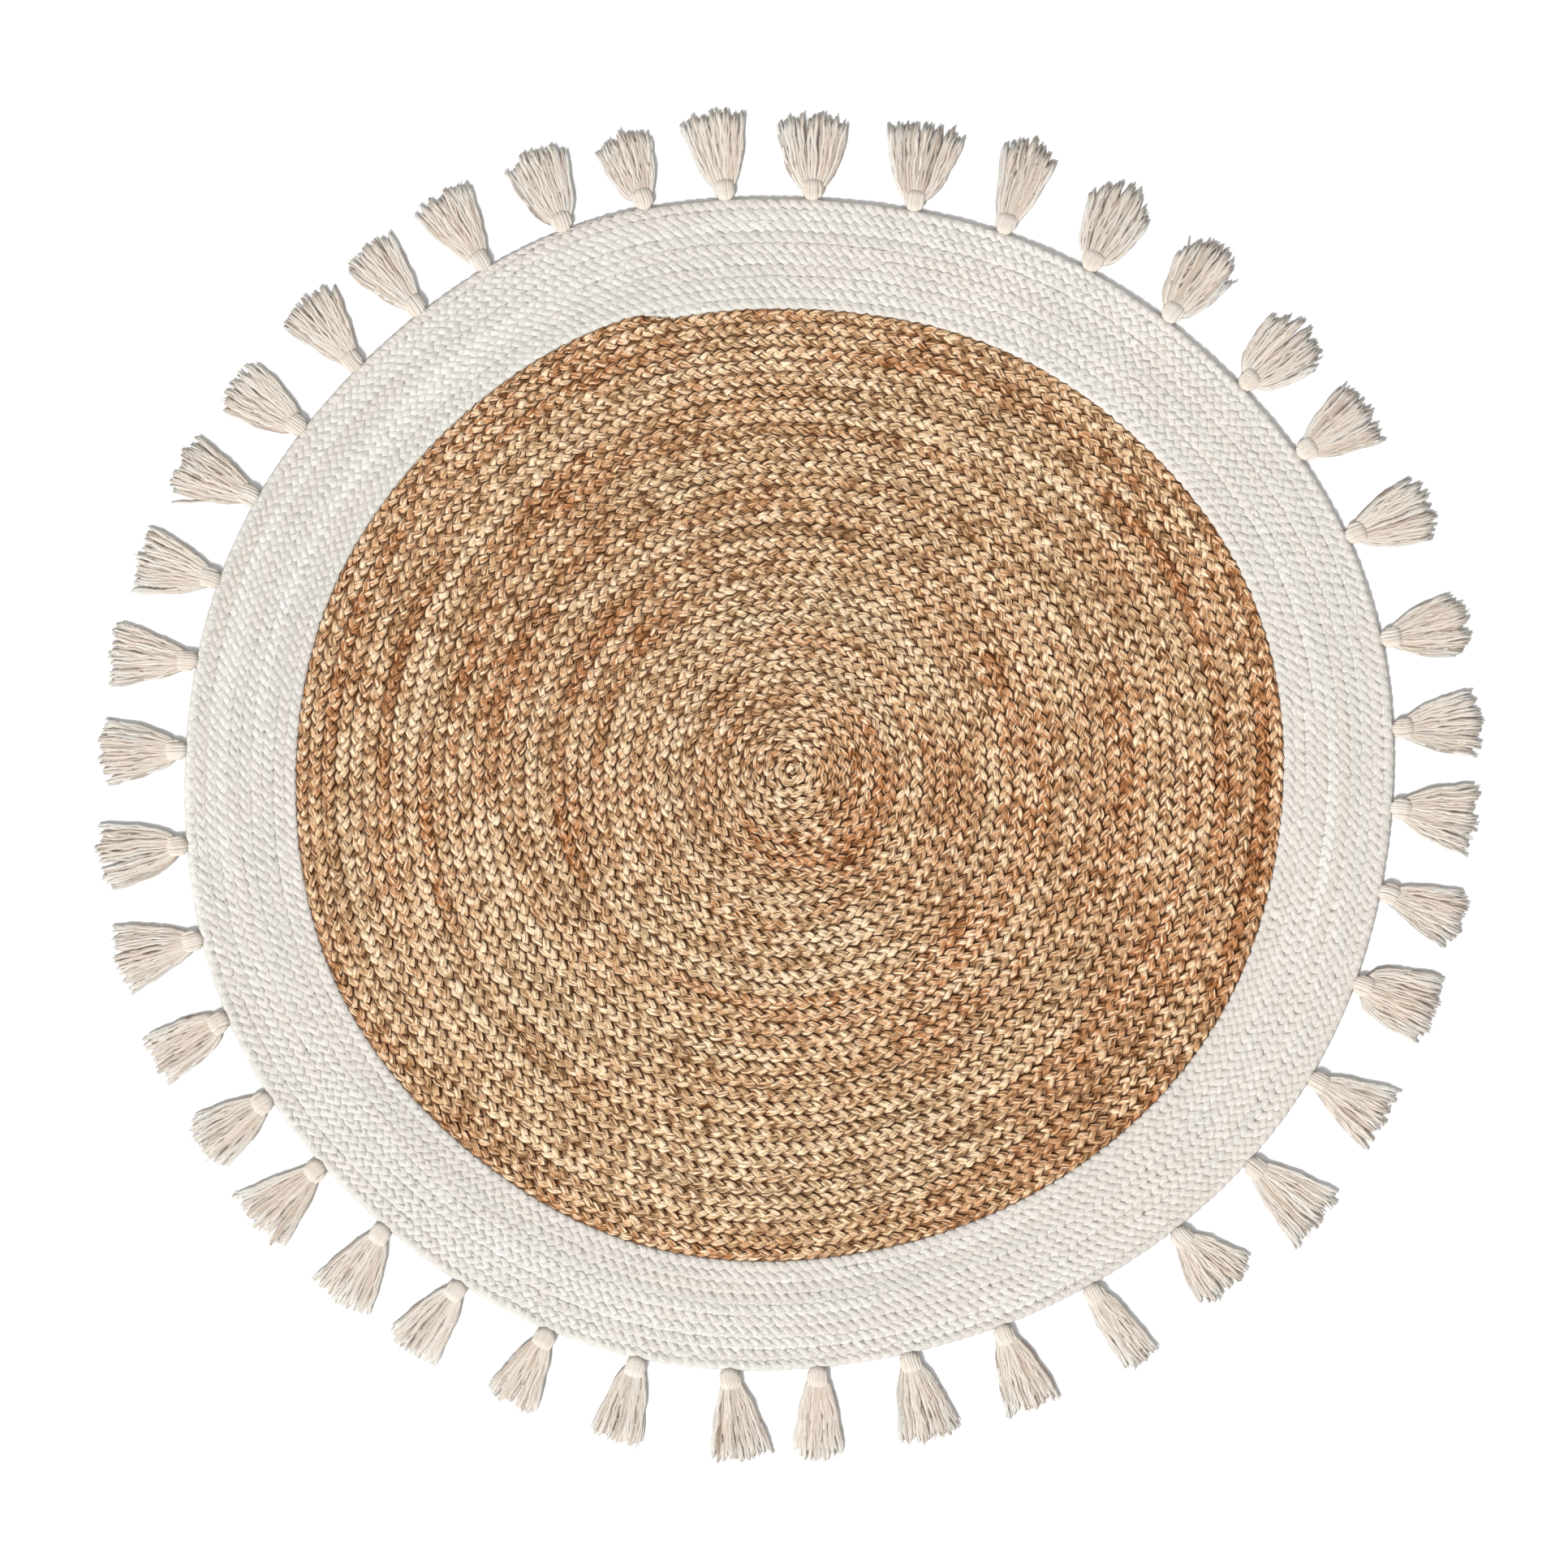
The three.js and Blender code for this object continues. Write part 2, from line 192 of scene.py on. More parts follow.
class CoilSizes(PropertyGroup):
    """Where the plait lies, row after row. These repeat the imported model's sizes."""

    jute_radius: length_prop("Jute radius", "Mean radius of the jute field", 0.488)
    rug_radius: length_prop("Rug radius", "Mean radius of the rug without its tassels", 0.599)
    jute_rows: IntProperty(name="Jute rows", description="Rows of natural jute plait", default=38)
    white_rows: IntProperty(name="White rows", description="Rows of bleached plait", default=10)
    narrower: length_prop("Narrower", "How much narrower the first row is than those far out", 0.0032)
    narrower_turns: number_prop("Narrower turns", "Turns in which rows mostly regain their width", 10)
    start_x: length_prop("Start across", "How far right of the middle the coil starts", 0.006)
    start_y: length_prop("Start up", "How far above the middle the coil starts", 0.0115)
    field_x: length_prop("Field across", "How far right of the middle the field's edge lies", 0.004)
    field_y: length_prop("Field up", "How far above the middle the field's edge lies", 0.0015)
    end_bearing: angle_prop("End bearing", "Where both plaits end, counter-clockwise from the right", 104)
    taper: share_prop("Taper", "Share of a turn in which the jute's end is tucked in", 0.0125)
    rim_taper: share_prop("Rim taper", "Share of a turn in which the border's end is tucked in", 0.06)
    joint_gap: length_prop("Joint gap", "Clearance between the two plaits' inner layers", 0.00035)


class PlaitSizes(PropertyGroup):
    """How three strands are plaited. Sideways sizes are shares of half a row's width."""

    jute_crest: length_prop("Jute thickness", "Thickness of the jute plait", 0.008)
    white_crest: length_prop("White thickness", "Thickness of the bleached plait", 0.0075)
    repeat: number_prop("Repeat", "Length of a strand's repeat, in row widths", 2.95)
    swing_out: share_prop("Swing at the crest", "How far out a strand is where it lies on top", 0.46)
    slant: share_prop("Slant", "How fast a strand crosses the row where it lies on top", 0.395)
    hurry: share_prop("Extra slant", "How much faster it crosses on top than underneath", 0.134)
    half_width: share_prop("Strand half width", "Mean half width of a strand", 0.60)
    spread: share_prop("Strand spread", "How much wider a strand is on top than underneath", 0.14)
    jute_reach: share_prop("Jute reach", "How far out a jute strand's edge may lie", 1.23)
    white_reach: share_prop("White reach", "How far out a bleached strand's edge may lie", 1.7)
    joint_line: share_prop("Joint line", "How far a strand's edge may lie towards the other plait", 1.2)
    rim_line: share_prop("Rim line", "How far out a strand's edge may lie at the rim", 0.97)
    half_height: share_prop("Strand half height", "Half height as a share of the thickness", 0.235)
    white_fuller: share_prop("Bleached fuller", "How much fuller the bleached strands are", 0.62)


class TasselSizes(PropertyGroup):
    """How one tassel is looped on and cut. Its place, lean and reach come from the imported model."""

    yarn_radius: length_prop("Yarn radius", "Radius of a yarn in the skirt", 0.0018)
    head_radius: length_prop("Head yarn radius", "Radius of a yarn in the head", 0.0024)
    head_half_width: length_prop("Head half width", "Half the width between the outermost yarns", 0.0083)
    head_crest: length_prop("Head crest", "Height of the head's middle yarns over the floor", 0.0078)
    head_apex: length_prop("Head over the rim", "How far the head reaches in over the rim", 0.0015)
    head_length: length_prop("Head length", "From the rim to where the skirt starts", 0.022)
    uneven: share_prop("Uneven ends", "How much the yarns' lengths differ", 0.035)
    tufting: share_prop("Tufting", "How far the tips are drawn together in tufts", 0.35)


class FibreColours(PropertyGroup):
    """Colours of the three fibres, each from its darkest, which is also painted as the shade in its
    hollows, to its palest parts.
    """

    # The dark colours are both darker fibres, where the tone is low, and painted shade in the hollows and
    # the inner layer.
    jute_dark: colour_prop("Jute, hollows", "Shadowed and dirty jute", (0.125, 0.040, 0.009))
    jute_middle: colour_prop("Jute", "Most of the jute", (0.67, 0.40, 0.21))
    jute_pale: colour_prop("Jute, pale", "Straw-coloured fibres", (0.97, 0.75, 0.51))
    jute_warm: colour_prop("Jute, brown", "Reddish brown lengths", (0.60, 0.265, 0.11))
    jute_cool: colour_prop("Jute, olive", "Greenish straw lengths", (0.61, 0.42, 0.235))
    # This dark colour is also the painted grey shade in the border's hollows and its inner layer.
    white_dark: colour_prop("Bleached, hollows", "Hollows of the border", (0.52, 0.49, 0.45))
    white_middle: colour_prop("Bleached", "Most of the border", (0.585, 0.55, 0.505))
    white_pale: colour_prop("Bleached, pale", "Palest fibres of the border", (0.705, 0.68, 0.65))
    white_warm: colour_prop("Bleached, warm", "Faintly pink lengths of the border", (0.62, 0.56, 0.50))
    white_cool: colour_prop("Bleached, cool", "Faintly green lengths of the border", (0.58, 0.575, 0.515))
    # This dark colour is also the painted shade between the yarns and on the lower skirt layers.
    cotton_dark: colour_prop("Cotton, hollows", "Between the yarns", (0.20, 0.135, 0.09))
    cotton_middle: colour_prop("Cotton", "Most of the tassels", (0.61, 0.53, 0.445))
    cotton_pale: colour_prop("Cotton, pale", "Palest yarns", (0.74, 0.69, 0.62))
    cotton_warm: colour_prop("Cotton, warm", "Faintly pink yarns", (0.66, 0.53, 0.44))
    # This colour also greys the tassels' tips as painted shade.
    cotton_cool: colour_prop("Cotton, cool", "Greyish tips and edges", (0.63, 0.62, 0.58))


class StudioSizes(PropertyGroup):
    """The floor, lights and camera."""

    camera_height: length_prop("Camera height", "Height of the camera over the floor", 4.363)
    camera_x: length_prop("Camera right", "Camera to the right of the rug's middle", -0.0029)
    camera_y: length_prop("Camera up", "Camera above the rug's middle", -0.0023)
    key_strength: number_prop("Key light", "Irradiance of the soft key light", 0.87)
    key_elevation: angle_prop("Key elevation", "Height of the key light", 48)
    key_bearing: angle_prop("Key bearing", "Side the key light is on", 236)
    key_width: angle_prop("Key width", "Angle the key light is wide", 15)
    fill_strength: number_prop("Fill light", "Strength of the even white surround", 0.5)
    floor_half: length_prop("Floor half width", "Half the width of the floor", 12.0)
    floor_drop: length_prop("Floor drop", "How far the floor lies under the rug", 0.0002)
    floor_colour: colour_prop("Floor", "Colour of the floor", (0.95, 0.95, 0.95))


class RoundRug(PropertyGroup):
    """Everything about the rug that can be changed."""

    coil: PointerProperty(type=CoilSizes)
    plait: PointerProperty(type=PlaitSizes)
    tassel: PointerProperty(type=TasselSizes)
    colours: PointerProperty(type=FibreColours)
    studio: PointerProperty(type=StudioSizes)


# The coil


def waved(bearing, waves):
    """The sum of waves round the rug: for each, its strength times a cosine with a crest at its bearing."""
    return sum(
        wave["strength"] * np.cos(wave["waves"] * (bearing - radians(wave["crest"]))) for wave in waves
    )


class Coil:
    """The rug's spiral, counted in turns of one row each, clockwise from the middle."""

    def __init__(self, sizes):
        self.sizes = sizes
        self.rim_turn = sizes.jute_rows + sizes.white_rows
        self.white_pitch = (sizes.rug_radius - sizes.jute_radius) / sizes.white_rows
        self.jute_pitch = (
            sizes.jute_radius - self.white_pitch / 2 + self.narrowed_by(sizes.jute_rows)
        ) / sizes.jute_rows

    def bearing(self, turn):
        return self.sizes.end_bearing - tau * turn

    def narrowed_by(self, turns):
        """How much less wide the first rows are, all together, than as many rows far from the middle."""
        sizes = self.sizes
        return sizes.narrower * sizes.narrower_turns * (1 - np.exp(-turns / sizes.narrower_turns))

    def tucked_in(self, share_of_turn):
        """How far the border's end is tucked in: nothing, then a smooth step at the end of the turn."""
        share = np.clip((share_of_turn - 1) / self.sizes.rim_taper + 1, 0, 1)
        return share * share * (3 - 2 * share)

    def seam_radius(self, turn):
        """A jute pitch more for every turn of jute, less what the first rows are narrower, then a white
        pitch for every turn of white. The white rows are a little wider at first and narrower later on,
        more so towards the rim."""
        jute_turns = np.minimum(turn, self.sizes.jute_rows)
        white_turns = turn - jute_turns
        drawn_out = 0.5 - turn % 1 + self.tucked_in(turn % 1)
        jute_width = self.jute_pitch * jute_turns - self.narrowed_by(jute_turns)
        return jute_width + self.white_pitch * white_turns * (1 + drawn_out / self.sizes.white_rows)

    def rim_radius(self, turn):
        """The last row's outer edge: its outer seam, brought in to the inner one where it ends."""
        tucked = self.tucked_in(turn - self.rim_turn)
        return self.seam_radius(turn) * (1 - tucked) + self.seam_radius(turn - 1) * tucked

    def joint_radius(self, turn):
        """The seam round the jute, brought back in its last part to where it started."""
        start, taper = self.sizes.jute_rows, self.sizes.taper
        back = np.clip((turn - start - 1 + taper) / taper, 0, 1)
        return self.seam_radius(turn) * (1 - back) + self.seam_radius(start) * back

    def place(self, radius, bearing):
        """A circle's point, pulled out of round by slow waves that grow with the radius, and shifted
        from the outline's middle by a length that changes evenly from start to field edge to rim."""
        sizes = self.sizes
        pulled = radius * (1 + np.minimum(1, radius / sizes.jute_radius) * waved(bearing, OUT_OF_ROUND))
        radii = (0, sizes.jute_radius, sizes.rug_radius)
        shift_x = np.interp(radius, radii, (sizes.start_x, sizes.field_x, 0))
        shift_y = np.interp(radius, radii, (sizes.start_y, sizes.field_y, 0))
        return np.stack((shift_x + pulled * np.cos(bearing), shift_y + pulled * np.sin(bearing)), axis=-1)

    def jute_edges(self, turn):
        """Inner and outer seam beside each other: the seam of this turn, and the seam one turn on. The
        row narrows to nothing on the inner seam at its end."""
        taper, last = self.sizes.taper, self.sizes.jute_rows
        inner, outer = self.seam_radius(turn), self.seam_radius(turn + 1)
        outer = inner + (outer - inner) * (1 - np.clip((turn - last + taper) / taper, 0, 1))
        return self.place(inner, self.bearing(turn)), self.place(outer, self.bearing(turn))

    def white_edges(self, turn):
        """The same for the border: its row grows from nothing on the outer seam at its start, and its
        last turn ends on the rim."""
        taper, first = self.sizes.taper, self.sizes.jute_rows - self.sizes.taper
        inner = self.seam_radius(turn)
        outer = np.where(turn + 1 > self.rim_turn, self.rim_radius(turn + 1), self.seam_radius(turn + 1))
        grown = outer - (outer - inner) * np.clip((turn - first) / taper, 0, 1)
        inner = np.where(turn < first + taper, grown, inner)
        return self.place(inner, self.bearing(turn)), self.place(outer, self.bearing(turn))

    def closed_loop(self, start, radius_at, gap):
        """A loop of points, clockwise, on a turn that closes on itself, moved out by a gap."""
        turns = start + np.linspace(0, 1, LAYER_SPOTS, endpoint=False)
        return self.place(radius_at(turns) + gap, self.bearing(turns))


# Meshes


def unit(vectors):
    return vectors / np.maximum(np.linalg.norm(vectors, axis=-1, keepdims=True), 1e-9)


def carried_section(path, half_width, half_height, section):
    """A section carried along paths: each ring lies across its path, its width level and its height
    square to both. No part of it goes under the floor."""
    along = unit(np.gradient(path, axis=-2))
    side = unit(np.cross(along, (0.0, 0.0, 1.0)))
    up = unit(np.cross(side, along))
    across, over = np.transpose(section)
    rings = (
        path[..., None, :]
        + side[..., None, :] * (half_width[..., None] * across)[..., None]
        + up[..., None, :] * (half_height[..., None] * over)[..., None]
    )
    rings[..., 2] = np.maximum(rings[..., 2], 0)
    return rings


def tube_arrays(rings, along, tone, warmth):
    """The corners, faces, map, tone and warmth of closed tubes: four-sided faces from ring to ring, and a
    flat face on each end. The rings are paths by rings by sides by three. The map is the length along a
    tube and the share of the way round it. Tone and warmth are one number for each ring."""
    tubes, count, sides = rings.shape[:3]
    corner = np.arange(tubes * count * sides).reshape(tubes, count, sides)
    around = np.roll(corner, -1, axis=2)
    walls = np.stack((corner[:, :-1], corner[:, 1:], around[:, 1:], around[:, :-1]), axis=-1)
    near, far = corner[:, 0], corner[:, -1, ::-1]
    side = np.arange(sides) / sides
    here = np.broadcast_to(along[:, :, None], corner.shape)
    u = np.stack((here[:, :-1], here[:, 1:], here[:, 1:], here[:, :-1]), axis=-1)
    v = np.broadcast_to(np.stack((side, side, side + 1 / sides, side + 1 / sides), axis=-1), u.shape)
    end_v = np.broadcast_to(side, (tubes, sides))
    spans = ((u, v), (here[:, 0], end_v), (here[:, -1], end_v[:, ::-1]))
    return {
        "corners": rings.reshape(-1, 3),
        "loops": np.concatenate([walls.ravel(), near.ravel(), far.ravel()]),
        "sizes": np.concatenate([np.full(walls.size // 4, 4), np.full(2 * tubes, sides)]),
        "map": np.concatenate([np.stack(span, axis=-1).reshape(-1, 2) for span in spans]),
        "tone": np.broadcast_to(tone[:, :, None], corner.shape).ravel(),
        "warmth": np.broadcast_to(warmth[:, :, None], corner.shape).ravel(),
    }


def tube_mesh(name, groups):
    """One mesh of several groups of tubes, each with its rings, lengths along, tone and warmth."""
    parts = [tube_arrays(*group) for group in groups]
    counts = np.cumsum([0] + [len(part["corners"]) for part in parts])
    for part, first in zip(parts, counts):
        part["loops"] = part["loops"] + first
    whole = {title: np.concatenate([part[title] for part in parts]) for title in parts[0]}
    mesh = bpy.data.meshes.new(name)
    mesh.vertices.add(len(whole["corners"]))
    mesh.vertices.foreach_set("co", whole["corners"].astype(np.float32).ravel())
    mesh.loops.add(whole["loops"].size)
    mesh.loops.foreach_set("vertex_index", whole["loops"].astype(np.int32))
    starts = np.concatenate([[0], np.cumsum(whole["sizes"])[:-1]]).astype(np.int32)
    mesh.polygons.add(starts.size)
    mesh.polygons.foreach_set("loop_start", starts)
    mesh.polygons.foreach_set("use_smooth", np.ones(starts.size, dtype=bool))
    layer = mesh.uv_layers.new(name="Strand")
    layer.uv.foreach_set("vector", whole["map"].astype(np.float32).ravel())
    for title in ("tone", "warmth"):
        attribute = mesh.attributes.new(title, "FLOAT", "POINT")
        attribute.data.foreach_set("value", whole[title].astype(np.float32))
    mesh.update(calc_edges=True)
    mesh.validate()
    return mesh


def layer_mesh(name, inner, outer, low, high):
    """A thin closed layer between two loops of points: its top and underside are shares of the way from
    one loop to the other, a little wavy, and joined at both edges. An inner loop that is one point
    closes in a fan."""
    spots, rings = len(outer), len(LAYER_RINGS)
    share = np.array(LAYER_RINGS)[:, None, None]
    flat = inner[None] * (1 - share) + outer[None] * share
    wavy = LAYER_WAVE * (high - low) * np.sin(np.arange(rings) * pi / 2)[:, None, None]
    top, foot = (
        np.concatenate([flat, np.broadcast_to(level + wavy, (rings, spots, 1))], axis=-1)
        for level in (high, low)
    )
    grid = np.concatenate([top, foot[::-1]])
    corner = np.arange(2 * rings * spots).reshape(2 * rings, spots)
    below, after = np.roll(corner, -1, axis=0), np.roll(corner, -1, axis=1)
    across = np.roll(below, -1, axis=1)
    faces = np.stack((corner, below, across, after), axis=-1).reshape(-1, 4)
    mesh = bpy.data.meshes.new(name)
    mesh.from_pydata(grid.reshape(-1, 3).tolist(), [], faces.tolist())
    mesh.update()
    return mesh


def add_piece(name, mesh, material, node):
    """A finished piece that rides on the rug and stands for its CAD node."""
    piece = bpy.data.objects.new(name, mesh)
    bpy.context.scene.collection.objects.link(piece)
    mesh.materials.append(material)
    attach(piece, BODY)
    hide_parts(node)
    return piece


# Random changes and stains


def eased(share):
    """Half a cosine wave from nothing to one."""
    return 0.5 - 0.5 * np.cos(pi * share)


def drift(seed, along, spacing, amount):
    """A smooth random line: random heights a spacing apart, joined by half cosine waves."""
    place = (along - along.min()) / spacing
    index = np.floor(place).astype(int)
    share = eased(place - index)
    heights = np.random.default_rng(seed).normal(0, amount, index.max() + 2)
    return heights[index] * (1 - share) + heights[index + 1] * share


def polar(places):
    """How far places are from the middle, and their bearings."""
    return np.linalg.norm(places, axis=-1), np.arctan2(places[..., 1], places[..., 0])


def arcs(seed, places):
    """Smooth random arcs: random heights on rings an arc's width apart and on even bearings, joined by
    half cosine waves both ways."""
    radius, bearing = polar(places)
    ring, spoke = radius / ARC_WIDTH, bearing / tau % 1 * ARCS_ROUND
    heights = np.random.default_rng(seed).normal(0, 1, (int(ring.max()) + 2, ARCS_ROUND))
    here, turn = ring.astype(int), spoke.astype(int) % ARCS_ROUND
    out, on = eased(ring % 1), eased(spoke % 1)
    after = (turn + 1) % ARCS_ROUND
    inner = heights[here, turn] * (1 - on) + heights[here, after] * on
    outer = heights[here + 1, turn] * (1 - on) + heights[here + 1, after] * on
    return inner * (1 - out) + outer * out


def jute_warmth_and_sheen(places, rows_left):
    """The slow waves, one of them a painted sheen, warmer jute in the last few rows, and the stains: for
    each a bell curve of the distance across the rows, times one of the distance along them."""
    radius, bearing = polar(places)
    last = np.clip((LAST_WARM_ROWS - rows_left) / LAST_ROWS_BLEND, 0, 1)
    # The slow waves carry the painted sheen: paler along the key light's line.
    warmth = waved(bearing, SLOW_WARMTH_AND_SHEEN) + LAST_ROWS_WARMTH * last
    for stain in STAINS:
        turned = (bearing - radians(stain["bearing"]) + pi) % tau - pi
        across = (radius - stain["radius"]) / stain["width"]
        along = np.minimum(radius, stain["radius"]) * turned / stain["length"]
        warmth = warmth + stain["warmth"] * np.exp(-(across**2) - along**2)
    return warmth


def white_warmth(places, rows_left):
    """A power of a cosine round the rug, the same in every row."""
    bearing = polar(places)[1]
    return WHITE_WARMTH * np.cos(bearing - radians(WHITE_WARM_BEARING)) ** WHITE_WARM_POWER


# The plait


class Braid:
    """One braid along the coil, from a turn to a turn, between its two edges. Its strands are fuller
    than jute's by a share. Their edges keep within a reach, within the inner line in the first turn, and
    within the outer line in the last one."""

    samples_a_turn = 900

    def __init__(self, plait, edges_at, first, last, pitch, crest, fuller, limits, seed, warmth_at):
        self.plait, self.pitch, self.crest, self.fuller = plait, pitch, crest, fuller
        self.reach, self.inner_line, self.outer_line = limits
        self.seed, self.warmth_at = seed, warmth_at
        self.turns = np.linspace(first, last, int((last - first) * self.samples_a_turn))
        inner, outer = edges_at(self.turns)
        self.middle, self.half_row = (inner + outer) / 2, (outer - inner) / 2
        steps = np.linalg.norm(np.diff(self.middle, axis=0), axis=1)
        self.run = np.concatenate([[0], np.cumsum(steps)])
        self.length = self.run[-1]

    def at(self, lie):
        """At distances along the braid: its middle, half its width as a vector, and the turn."""
        lines = (*self.middle.T, *self.half_row.T, self.turns)
        x, y, half_x, half_y, turn = (np.interp(lie, self.run, line) for line in lines)
        return np.stack((x, y), axis=-1), np.stack((half_x, half_y), axis=-1), turn

    def kept_within(self, swing, width, turn):
        """Sideways places of a strand, moved so that its edges keep within the reach and the lines."""
        swing = np.clip(swing, width - self.reach, self.reach - width)
        first_turn, last_turn = turn < self.turns[0] + 1, turn > self.turns[-1] - 1
        swing = np.where(first_turn, np.maximum(swing, width - self.inner_line), swing)
        return np.where(last_turn, np.minimum(swing, self.outer_line - width), swing)


class Strand:
    """One of a braid's three strands: at every ring its phase, which turns once in a repeat, its distance
    along the braid, and where that is on the rug."""

    # How much wider it is where the coil starts, and in how many turns that mostly goes.
    wider, wider_turns = 0.5, 1.5
    # In how many row widths it thins out at its ends and to what share, and the least share of its height
    # that it keeps in a narrow row.
    end_taper, end_share, flattest = 0.4, 0.25, 0.3
    end_gap = 0.001

    def __init__(self, braid, number):
        self.braid, self.number = braid, number
        self.repeat = braid.plait.repeat * braid.pitch
        count = int(braid.length / self.repeat * RINGS_PER_REPEAT)
        offset = (number - 1) / STRANDS
        phase = tau * (np.arange(count) + 0.5) / RINGS_PER_REPEAT + tau * np.ceil(offset)
        along = (phase / tau - offset) * self.repeat
        kept = along < braid.length - self.end_gap
        self.phase, self.along = phase[kept], along[kept]
        lie = self.along + self.repeat * self.change("lie")
        self.line, self.half_row, self.turn = braid.at(np.clip(lie, 0, braid.length))

    def change(self, what):
        """The sum of the smooth random changes of one thing."""
        total = 0.0
        for row in CHANGES:
            if row["what"] == what:
                seed = self.braid.seed if row["shared"] else 10 * self.braid.seed + self.number
                spacing = row["repeats"] * self.repeat + row["metres"]
                total = total + drift(seed + row["draw"], self.along, spacing, row["amount"])
        return total

    def width(self):
        """Half the strand's width as a share of half the row's. It follows a cosine of twice the phase,
        so it is widest on top, and it is wider where the coil starts."""
        plait = self.braid.plait
        wider = self.wider * np.exp(-np.maximum(self.turn, 0) / self.wider_turns)
        wider = 1 + self.braid.fuller / 2 + wider + self.change("width")
        return wider * (plait.half_width + plait.spread * np.cos(2 * self.phase))

    def swing(self, width):
        """Sideways the strand follows a cosine and a sine of the phase and a sine of three times the
        phase, so it crosses the row fast where it lies on top."""
        plait, phase = self.braid.plait, self.phase
        slanted = plait.slant * np.sin(phase) + plait.hurry * np.sin(3 * phase)
        swing = (plait.swing_out * np.cos(phase) + slanted) * (1 + self.change("slant"))
        return self.braid.kept_within(swing + self.change("swing"), width, self.turn)

    def rings(self):
        """The section carried along the strand. In height the strand follows a cosine of twice the phase,
        so it is on top twice in a repeat, once on each side. It thins out at its two ends, and is flatter
        where the row is narrow."""
        braid, plait = self.braid, self.braid.plait
        width = self.width()
        half_height = plait.half_height * braid.crest * (1 + braid.fuller)
        lift = (braid.crest / 2 - half_height) * np.cos(2 * self.phase) * (1 + self.change("bounce"))
        lift = braid.crest / 2 + lift + braid.crest * self.change("lift")
        spot = self.line + self.half_row * self.swing(width)[:, None]
        path = np.concatenate([spot, lift[:, None]], axis=1)
        half = np.linalg.norm(self.half_row, axis=1)
        to_end = np.minimum(self.along, braid.length - self.along)
        thinned = np.clip(to_end / (self.end_taper * braid.pitch), self.end_share, 1)
        height = half_height * thinned * np.clip(half / (braid.pitch / 2), self.flattest, 1)
        return carried_section(path[None], (width * half * thinned)[None], height[None], STRAND_SECTION)

    def colour(self):
        """How pale and how warm the strand is at each ring."""
        seed = self.braid.seed
        rows_left = self.braid.turns[-1] - self.turn
        redder = self.braid.warmth_at(self.line, rows_left)
        redder = redder + ARC_WARMTH * arcs(seed + ARC_WARMTH_DRAW, self.line)
        darker = REDDER_IS_DARKER * redder - ARC_TONE * arcs(seed + ARC_TONE_DRAW, self.line)
        return self.change("tone") - darker, self.change("warmth") + redder


def add_strands(fibre, braid, material, node):
    """The three strands of a braid, each a piece of its own."""
    strands = []
    for number in range(1, STRANDS + 1):
        name = f"{fibre}_strand_{number}"
        strand = Strand(braid, number)
        tone, warmth = strand.colour()
        mesh = tube_mesh(name, [(strand.rings(), strand.along[None], tone[None], warmth[None])])
        strands.append(add_piece(name, mesh, material, node))
    return strands


# Materials

# Each fibre's colours, as the sizes and the colour group name them.
SHADES = ("Dark", "Middle", "Pale", "Warm", "Cool")


class Nodes:
    """A node tree, and short ways to add to it. What an input gets is a socket, a number or a colour."""

    column_width, column_step = 220, 180

    def __init__(self, tree):
        self.tree = tree

    def feed(self, socket, value):
        if isinstance(value, bpy.types.NodeSocket):
            self.tree.links.new(value, socket)
        else:
            socket.default_value = value

    def add(self, kind, inputs, **settings):
        """A new node's outputs."""
        node = self.tree.nodes.new("ShaderNode" + kind)
        for key, value in settings.items():
            setattr(node, key, value)
        for key, value in inputs.items():
            self.feed(node.inputs[key], value)
        return node.outputs

    def math(self, operation, *values, clamp=False):
        return self.add("Math", dict(enumerate(values)), operation=operation, use_clamp=clamp)[0]

    def centred(self, value, reach):
        """A value from 0 to 1 turned into one from minus the reach to the reach."""
        return self.math("MULTIPLY_ADD", value, 2 * reach, -reach)

    def mix(self, share, first, second):
        inputs = {0: share, 6: first, 7: second}
        return self.add("Mix", inputs, data_type="RGBA", clamp_factor=True)[2]

    def noise(self, vector, scale, detail=2.0):
        inputs = {"Vector": vector, "Scale": scale, "Detail": detail, "Roughness": 0.55}
        return self.add("TexNoise", inputs)["Fac"]

    def bump(self, height, strength, distance):
        return self.add("Bump", {"Height": height, "Strength": strength, "Distance": distance})[0]

    def group(self, name, make, inputs):
        """A shared group's outputs. The group is made the first time it is asked for."""
        return self.add("Group", inputs, node_tree=bpy.data.node_groups.get(name) or make(name))

    def finish(self):
        """Puts each node in a column by its longest way to the output, one under the other."""
        column = dict.fromkeys(self.tree.nodes.keys(), 0)
        for _ in column:
            for link in self.tree.links:
                start, end = link.from_node.name, link.to_node.name
                column[start] = max(column[start], column[end] + 1)
        filled = dict.fromkeys(column.values(), 0)
        for node in self.tree.nodes:
            across = column[node.name]
            node.location = (-self.column_width * across, -self.column_step * filled[across])
            filled[across] += 1
        return self.tree


def new_group(name, inputs, outputs):
    """An empty node group: its nodes, and the sockets of its input and output nodes. The inputs and
    outputs are named under their kinds."""
    tree = bpy.data.node_groups.new(name, "ShaderNodeTree")
    for way, kinds in (("INPUT", inputs), ("OUTPUT", outputs)):
        for kind, titles in kinds.items():
            for title in titles:
                tree.interface.new_socket(name=title, in_out=way, socket_type="NodeSocket" + kind)
    given = tree.nodes.new("NodeGroupInput").outputs
    return Nodes(tree), given, tree.nodes.new("NodeGroupOutput").inputs


